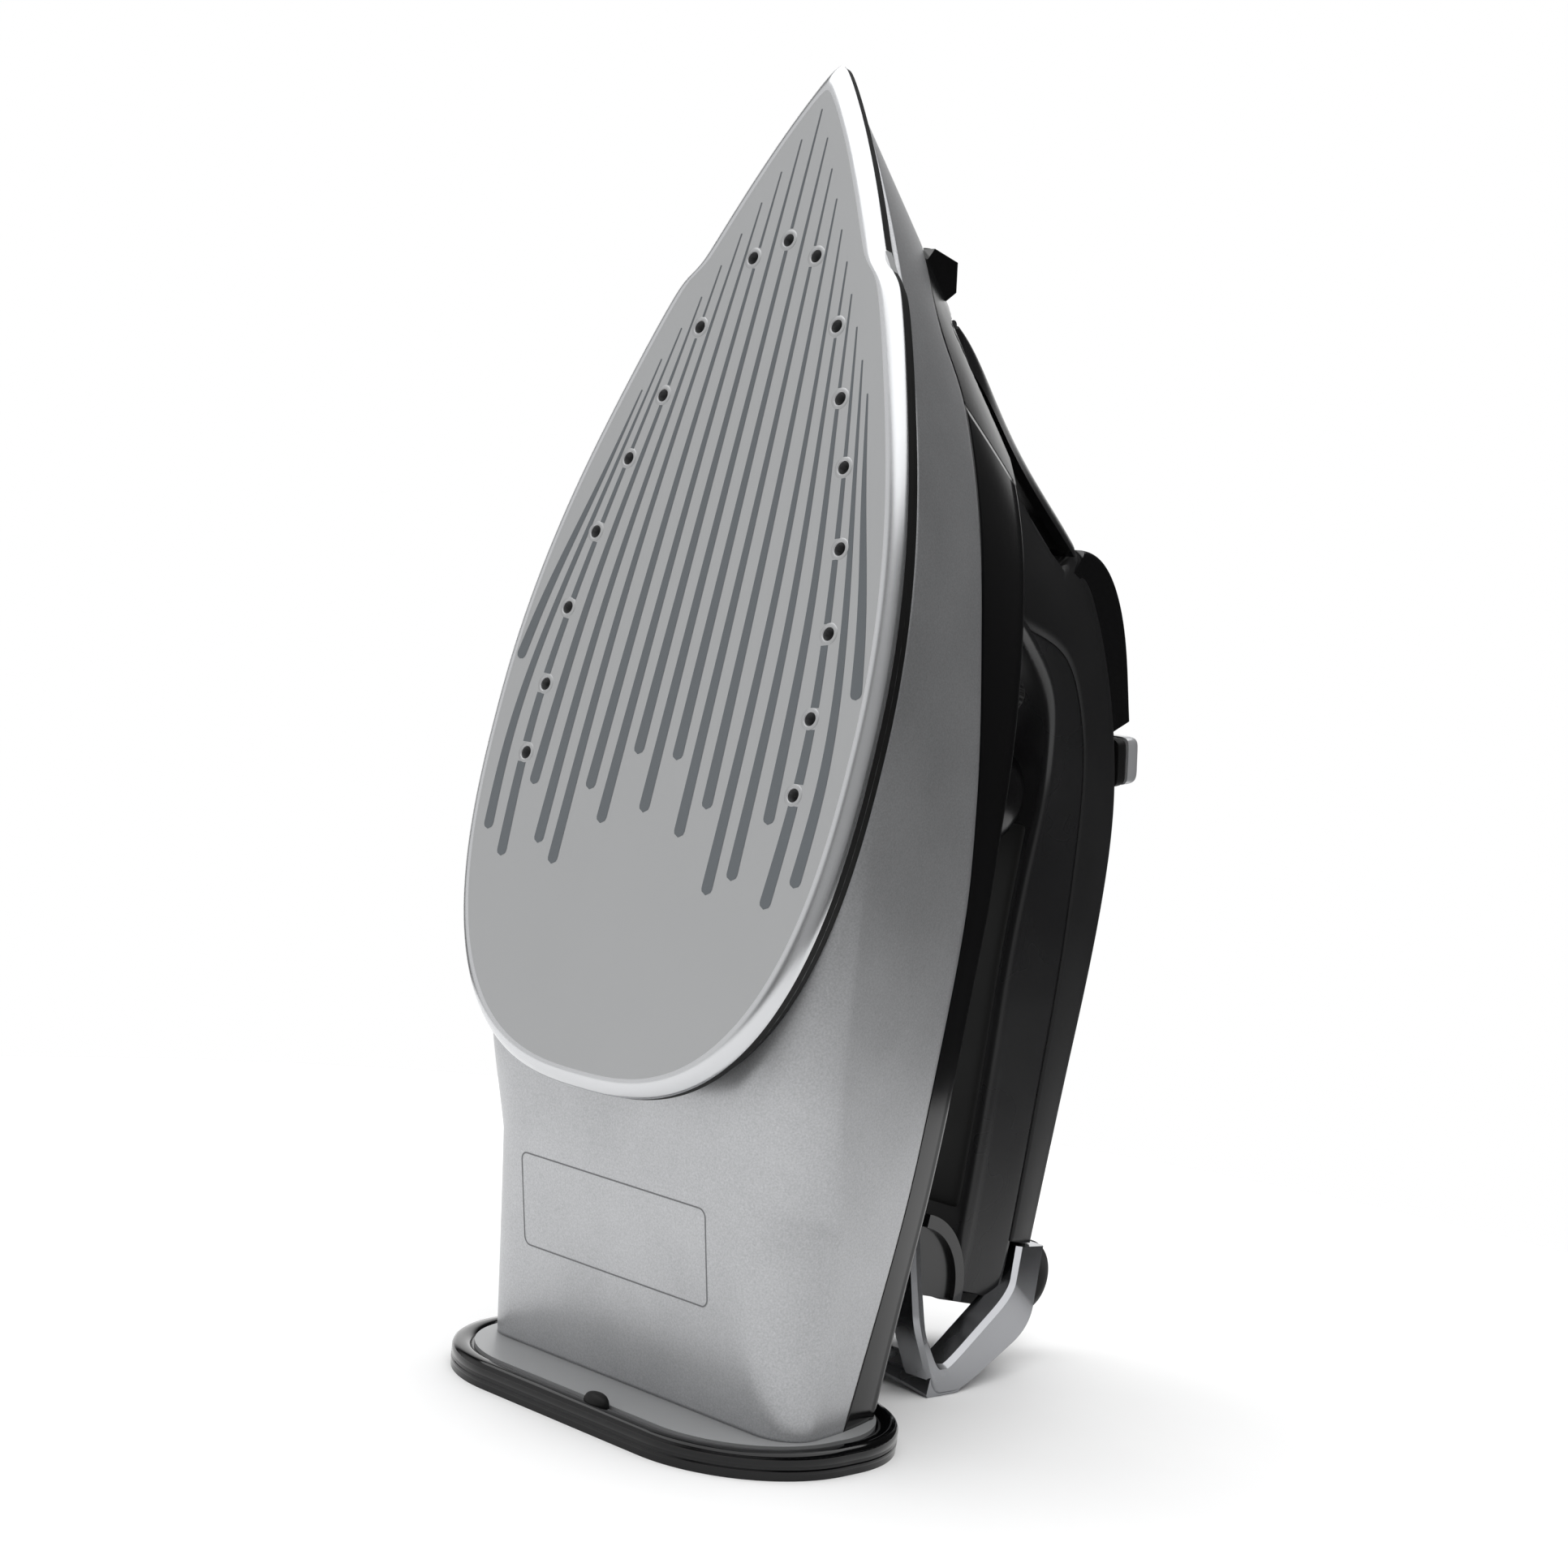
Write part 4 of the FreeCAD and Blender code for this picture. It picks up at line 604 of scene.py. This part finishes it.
# grip strip: follows the underside's middle line, a little proud of it, with rounded edges and ends
grip = {"places": (5.45, 8.85, 140), "cols": 41, "half": 10.5, "proud": 0.7, "sunk": 1.0, "endRun": 0.12,
        "edgePower": 14, "endPower": 4, "draw": 0.12, "drawPower": 3}
places = np.linspace(*grip["places"])
ribAt = spline(np.arange(len(ribs)), ribs, places)
inward = np.stack([ribAt[:, 2] - ribAt[:, 0], ribAt[:, 3] - ribAt[:, 1]], -1)
inward /= np.linalg.norm(inward, axis=1)[:, None]
across = np.sin(np.linspace(-np.pi / 2, np.pi / 2, grip["cols"]))
fromEnd = np.minimum(places - places[0], places[-1] - places)[:, None] / grip["endRun"]
end = np.clip(1 - fromEnd, 0, 1)
domed = (1 - np.abs(across) ** grip["edgePower"]) * (1 - end ** grip["endPower"])
rise = -grip["sunk"] + (grip["sunk"] + grip["proud"]) * domed**0.5
wide = grip["half"] * across * (1 - grip["draw"] * end ** grip["drawPower"])
top = np.stack([ribAt[:, 2:3] + inward[:, :1] * rise, wide, ribAt[:, 3:4] + inward[:, 1:] * rise], -1)
back = np.stack([ribAt[:, 2:3] - inward[:, :1] * grip["sunk"] + 0 * rise, wide,
                 ribAt[:, 3:4] - inward[:, 1:] * grip["sunk"] + 0 * rise], -1)
gripStrip = surface("gripStrip", np.concatenate([top, back[:, ::-1]], 1), wrap=True)
place(gripStrip, "iron", "grip_rubber", gripRubber, "grip_insert")

# steam slider: its seat's middle, the direction out of the handle and the direction along it
seat = {"at": (143.28, 0, 170.03), "out": (0.9487, 0, 0.3162), "along": (-0.3162, 0, 0.9487), "travel": 15.0}
seatAt, seatOut, seatAlong = [np.array(seat[key]) for key in ("at", "out", "along")]


def roundedBlock(low, high, halfWide, halfLong, middle=0.0, corner=0.3, crown=0.25):
    # superellipse in plan, its sides drawn in towards the top by another superellipse
    around = np.linspace(0, 2 * np.pi, slider["cols"], endpoint=False)
    up = np.linspace(0, np.pi / 2, slider["rows"])[:, None]
    c, d = np.cos(around), np.sin(around)
    wide = np.sign(c) * np.abs(c) ** corner * np.cos(up) ** crown * halfWide + middle
    long = np.sign(d) * np.abs(d) ** corner * np.cos(up) ** crown * halfLong
    out = low + (high - low) * np.sin(up) ** slider["rise"] + 0 * c
    grid = seatAt + out[..., None] * seatOut + long[..., None] * seatAlong
    grid[..., 1] += wide
    foot = grid[:1] - seatOut * slider["foot"]
    return np.concatenate([foot, grid])


def blockPiece(name, grid):
    # such a block as a piece, its foot closed
    cols = grid.shape[1]
    return pieceFrom(name, stand(grid), gridFaces(*grid.shape[:2], True) + [list(range(cols))], sharp=35)


slider = {"trackLow": 0.5, "trackTop": 5.0, "trackWide": 15.5, "trackLong": 6.5, "gap": 1.1, "top": 10.8,
          "wide": 7.0, "long": 6.3, "rise": 0.75, "foot": 1.0, "rows": 18, "cols": 72}
steamTrack = blockPiece("steamTrack", roundedBlock(slider["trackLow"], slider["trackTop"], slider["trackWide"],
                                                   slider["trackLong"], corner=0.25, crown=0.2))
place(steamTrack, "iron", "heat_black", heatNylon, "steam_track")
steamCap = blockPiece("steamCap", roundedBlock(slider["trackTop"] + slider["gap"], slider["top"], slider["wide"],
                                               slider["long"], -seat["travel"] / 2))
place(steamCap, "slider", "slider_silver", sliderSilver, "steam_slider")

# temperature dial: a turned knob, its side swelling slightly, with a shallow dished top
dial = {"station": 152.0, "low": 98.8, "steps": 70, "sides": 96,
        "profile": [(0.0, 0.0), (12.6, 0.0), (13.4, 0.5), (14.0, 2.0), (14.4, 5.0),
        (14.4, 8.5), (14.0, 11.0), (13.0, 12.8), (11.4, 13.7), (9.0, 13.8), (5.0, 13.3), (0.0, 13.1)]}
knots = np.array(dial["profile"])
lengths = np.r_[0, np.cumsum(np.hypot(*np.diff(knots, axis=0).T))]
profile = spline(lengths, knots, np.linspace(0, lengths[-1], dial["steps"]))
profile[[0, -1], 0] = 0
turn = np.linspace(0, 2 * np.pi, dial["sides"], endpoint=False)
grid = np.stack([dial["low"] + profile[:, 1:2] + 0 * turn, profile[:, :1] * np.cos(turn),
                 dial["station"] + profile[:, :1] * np.sin(turn)], -1)
smoothDial = surface("smoothDial", grid, wrap=True, sharp=35)
place(smoothDial, "dial", "button_gloss", softGloss, "temperature_dial")

# self-clean knob: a small ribbed cylinder with a domed top
knob = {"station": 172.5, "side": -27.0, "low": 66.6, "high": 81.6, "radius": 4.5, "ribs": 22, "rib": 0.22,
        "perRib": 6}
turn = np.linspace(0, 2 * np.pi, knob["ribs"] * knob["perRib"], endpoint=False)
rows = np.array([(0.0, 0.0, 0), (1.0, 0.0, 1), (1.0, 0.78, 1), (0.96, 0.88, 0.5), (0.82, 0.96, 0), (0.5, 1.0, 0),
                 (0.0, 1.0, 0)])
radius = knob["radius"] * rows[:, :1] + knob["rib"] * rows[:, 2:3] * np.cos(knob["ribs"] * turn)
grid = np.stack([knob["low"] + rows[:, 1:2] * (knob["high"] - knob["low"]) + 0 * turn,
                 knob["side"] + radius * np.cos(turn), knob["station"] + radius * np.sin(turn)], -1)
ribbedKnob = surface("ribbedKnob", grid, wrap=True, sharp=50)
place(ribbedKnob, "clean_knob", "heat_black", heatNylon, "self_clean_knob")
print("handle made")

# tail loop: two bars of eight-sided section along a bent path, flaring towards the floor, and a foot between them
tail = {"half": 18.0, "flare": 8.0, "flareFrom": 47, "flareRun": 35, "bar": 9.0, "chamfer": 1.2, "mostCut": 0.3,
        "footLow": 113.6, "footHigh": 126.0, "footThick": 5.5, "footInset": 0.6, "footCut": 0.8, "footBack": 1.5,
        "footSteps": 25, "arch": 2.4}


def floorStation(height):
    # the station at which the floor lies, at a height above the sole
    return (height - stance["heelHeight"]) * sinLean / cosLean - stance["plateThick"] / cosLean


tailPairs = np.array([
    (156.8, 47, 146, 45.5), (153.8, 26, 142.3, 34.5), (127, floorStation(127), 118.6, 15.6),
    (116, floorStation(116), 114.6, 15.2), (106.6, 22, 110.9, 22), (103.6, 36.5, 108.2, 34), (102, 49, 105.4, 48),
])


def roundedPath(corners, ease=0.27, samples=12):
    # each inner corner becomes a quadratic curve between points set back along its two runs
    path = [corners[:1]]
    t = np.linspace(0, 1, samples)[:, None]
    for before, here, after in zip(corners, corners[1:], corners[2:]):
        start, end = here + (before - here) * ease, here + (after - here) * ease
        path.append((1 - t) ** 2 * start + 2 * t * (1 - t) * here + t**2 * end)
    return np.vstack(path + [corners[-1:]])


path = roundedPath(tailPairs)
middle = (path[:, 1] + path[:, 3]) / 2
flare = tail["flare"] * np.clip((tail["flareFrom"] - middle) / tail["flareRun"], 0, 1)
bars, barFaces = [], []
for sign in (1, -1):
    far, near = tail["half"] + flare, tail["half"] + flare - tail["bar"]
    width = np.hypot(path[:, 2] - path[:, 0], path[:, 3] - path[:, 1])
    cut = np.minimum(tail["chamfer"] / width, tail["mostCut"])
    ends = np.minimum(tail["chamfer"], tail["mostCut"] * width)
    section = []
    for share, side in ((cut, far), (1 - cut, far), (1 + 0 * cut, far - ends), (1 + 0 * cut, near + ends),
                        (1 - cut, near), (cut, near), (0 * cut, near + ends), (0 * cut, far - ends)):
        section.append(np.stack([path[:, 0] + (path[:, 2] - path[:, 0]) * share, sign * side,
                                 path[:, 1] + (path[:, 3] - path[:, 1]) * share], -1))
    grid = np.stack(section, 1)
    sides = len(section)
    first, last = len(bars) * len(path) * sides, (len(bars) + 1) * len(path) * sides
    barFaces += gridFaces(len(path), sides, True, first)
    barFaces += [list(range(first, first + sides)), list(range(last - sides, last))[::-1]]
    bars.append(grid)
tailBars = pieceFrom("tailBars", stand(np.array(bars)), barFaces, sharp=32)
place(tailBars, "iron", "tail_chrome", satinChrome, "tail_loop")
foot = tail["half"] + tail["flare"] - tail["footInset"]
low, high, thick, cut = tail["footLow"], tail["footHigh"], tail["footThick"], tail["footCut"]
atLow, atHigh, back = floorStation(low), floorStation(high), high - tail["footBack"]
outline = np.array([(low, atLow + cut), (low + cut, atLow), (high - cut, atHigh), (high, atHigh + cut),
                    (back, atHigh + thick - cut), (back - cut, atHigh + thick), (low + cut, atLow + thick),
                    (low, atLow + thick - cut)])
steps = np.linspace(-foot, foot, tail["footSteps"])
arch = tail["arch"] * (1 - (steps / foot) ** 2)
footGrid = np.stack([np.repeat(outline[None, :, 0], len(steps), 0), np.repeat(steps[:, None], len(outline), 1),
                     outline[None, :, 1] + arch[:, None] * (outline[:, 1] < outline[:, 1].mean())], -1)
tailFoot = surface("tailFoot", footGrid, wrap=True, caps=True, sharp=32)
place(tailFoot, "iron", "tail_chrome", satinChrome, "tail_loop")
print("tail loop made")

# heel plate's lip: a closed section of insets and levels swept along a rounded rectangle
plate = {"halfDepth": 33.8, "halfWidth": 57.1, "corner": 31.2, "steps": 40}


def plateOutline(inset):
    # rounded rectangle on the standing level, x across the depth and y across the width, in mm
    radius = plate["corner"] - inset
    a, b = plate["halfDepth"] - inset - radius, plate["halfWidth"] - inset - radius
    turn = np.linspace(0, np.pi / 2, plate["steps"])
    arcs = [(a, b, 0), (-a, b, 1), (-a, -b, 2), (a, -b, 3)]
    return np.vstack([np.stack([x + radius * np.cos(turn + k * np.pi / 2), y + radius * np.sin(turn + k * np.pi / 2)],
                               -1) for x, y, k in arcs])


heelEdge = [(4.6, 0.25), (1.0, 0.25), (0.25, 0.7), (-0.1, 1.6), (-0.1, 2.3), (0.25, 2.6), (0.25, 2.9), (-0.1, 3.2),
            (-0.1, 4.6), (0.2, 5.4), (0.9, 5.9), (2.6, 6.0), (3.6, 5.7), (4.2, 5.2), (4.6, 4.7)]
grid = []
for inset, level in heelEdge:
    outline = plateOutline(inset)
    grid.append(np.column_stack([outline, np.full(len(outline), level)]) / 1000)
grid = np.array(grid)
heelRim = pieceFrom("heelRim", grid, gridFaces(len(grid), grid.shape[1], True), sharp=50)
place(heelRim, "iron", "plate_smoke", smokeAbs)

# latch tab: a flattened half ellipsoid on the plate's inner edge, its ends drawn in
tab = {"at": (-0.0302, -0.008, 0.0052), "half": (0.0021, 0.0036, 0.0030), "cols": 40, "rows": 14, "draw": 0.7,
       "rise": 0.8}
around, upward = np.meshgrid(np.linspace(0, 2 * np.pi, tab["cols"], endpoint=False),
                             np.linspace(0, np.pi / 2, tab["rows"]))
reach = np.cos(upward) ** tab["draw"]
grid = np.stack([np.cos(around) * reach, np.sin(around) * reach, np.sin(upward) ** tab["rise"]], -1)
grid = grid * tab["half"] + tab["at"]
latchTab = pieceFrom("latchTab", grid, gridFaces(*grid.shape[:2], True) + [list(range(grid.shape[1]))])
place(latchTab, "iron", "heat_black", heatNylon, "latch_tab")

# inspection panel on the underside of the body: its seam as a narrow line round a rounded rectangle
panel = {"sides": (-27.7, 33.0), "stations": (21.4, 42.4), "corner": 2.0, "width": 0.34,
         "lift": 0.05, "steps": 10}
turn = np.linspace(0, np.pi / 2, panel["steps"])


def panelLine(grow):
    # rounded rectangle on the sloping underside, grown outwards by so many mm
    radius = panel["corner"] + grow
    (y0, y1), (z0, z1) = panel["sides"], panel["stations"]
    corners = [(y1, z1, 0), (y0, z1, 1), (y0, z0, 2), (y1, z0, 3)]
    reach = [(-1, -1), (1, -1), (1, 1), (-1, 1)]
    line = np.vstack([np.stack([y + sy * panel["corner"] + radius * np.cos(turn + k * np.pi / 2),
                                z + sz * panel["corner"] + radius * np.sin(turn + k * np.pi / 2)], -1)
                      for (y, z, k), (sy, sz) in zip(corners, reach)])
    return np.column_stack([underside(line[:, 1]) - panel["lift"], line])


panelSeam = surface("panelSeam", np.array([panelLine(-panel["width"]), panelLine(0.0)]), wrap=True,
                    pivot=(0.05, 0, 0.05))
place(panelSeam, "iron", "silver_shell", seamShade)
print("heel made")

# floor: a round disc
ground = {"radius": 0.42, "sides": 128}
turn = np.linspace(0, 2 * np.pi, ground["sides"], endpoint=False)
disc = np.stack([ground["radius"] * np.cos(turn), ground["radius"] * np.sin(turn), 0 * turn], -1)
floorMesh = bpy.data.meshes.new("floor")
floorMesh.from_pydata(disc.tolist(), [], [list(range(ground["sides"]))])
floor = bpy.data.objects.new("floor", floorMesh)
bpy.context.scene.collection.objects.link(floor)
# matt studio floor: nearly white and without highlights, so only the shadow shows
floorPaint = finish("paleStudioPaint", "#fbfbfb", "#f8f8f8", 0.9, 0.03, 5.0, 0.002, Specular_IOR_Level=0.0)
floorMesh.materials.append(floorPaint)

# studio surround: a white backdrop, and for the light a dim room with soft boxes as smooth patches of brightness;
# each box is its direction, the cosine at its outer edge, the cosine where it is full, and its power
studio = {"room": 0.04, "boxes": [((-0.74, -0.62, 0.25), 0.76, 0.97, 0.38), ((-0.7, 0.68, 0.22), 0.6, 0.95, 0.8),
                                  ((0.62, 0.76, 0.12), 0.82, 0.96, 1.3)]}
sky = bpy.data.worlds.new("studio")
sky.use_nodes = True
tree = sky.node_tree
background = tree.nodes["Background"]
around = add(tree, "ShaderNodeTexCoord").outputs["Generated"]
level = studio["room"]
for direction, edge, full, power in studio["boxes"]:
    facing = add(tree, "ShaderNodeVectorMath", {0: around, 1: Vector(direction).normalized()},
                 operation="DOT_PRODUCT")
    patch = add(tree, "ShaderNodeMapRange", {"Value": facing.outputs["Value"], "From Min": edge, "From Max": full,
                                            "To Min": 0.0, "To Max": power}, interpolation_type="SMOOTHSTEP")
    level = add(tree, "ShaderNodeMath", {0: patch.outputs["Result"], 1: level}, operation="ADD").outputs[0]
seen = add(tree, "ShaderNodeLightPath").outputs["Is Camera Ray"]
level = add(tree, "ShaderNodeMix", {0: seen, 2: level, 3: 1.0}, data_type="FLOAT").outputs[0]
tree.links.new(level, background.inputs["Strength"])
background.inputs["Color"].default_value = (1, 1, 1, 1)
bpy.context.scene.world = sky

# a very broad lamp overhead keeps the floor as pale as the backdrop
lamp = {"angle": math.radians(100), "energy": 3.4}
overhead = bpy.data.lights.new("overheadBox", "SUN")
overhead.angle = lamp["angle"]
overhead.energy = lamp["energy"]
overheadBox = bpy.data.objects.new("overheadBox", overhead)
bpy.context.scene.collection.objects.link(overheadBox)

eye = {"at": (-0.42665, -0.4189, 0.17147), "right": (0.68742, -0.7175, 0.1126), "up": (-0.04373, 0.1139, 0.99248),
       "forward": (0.72497, 0.6872, -0.0469), "lens": 60.81, "sensor": 36.0, "near": 0.01}
lensData = bpy.data.cameras.new("camera")
lensData.lens = eye["lens"]
lensData.sensor_width = eye["sensor"]
lensData.clip_start = eye["near"]
camera = bpy.data.objects.new("camera", lensData)
right, up, back = Vector(eye["right"]), Vector(eye["up"]), -Vector(eye["forward"])
camera.matrix_world = Matrix.Translation(eye["at"]) @ Matrix((right, up, back)).transposed().to_4x4()
bpy.context.scene.collection.objects.link(camera)
bpy.context.scene.camera = camera
bpy.context.scene.view_settings.view_transform = "Standard"
print("floor, light and camera set")
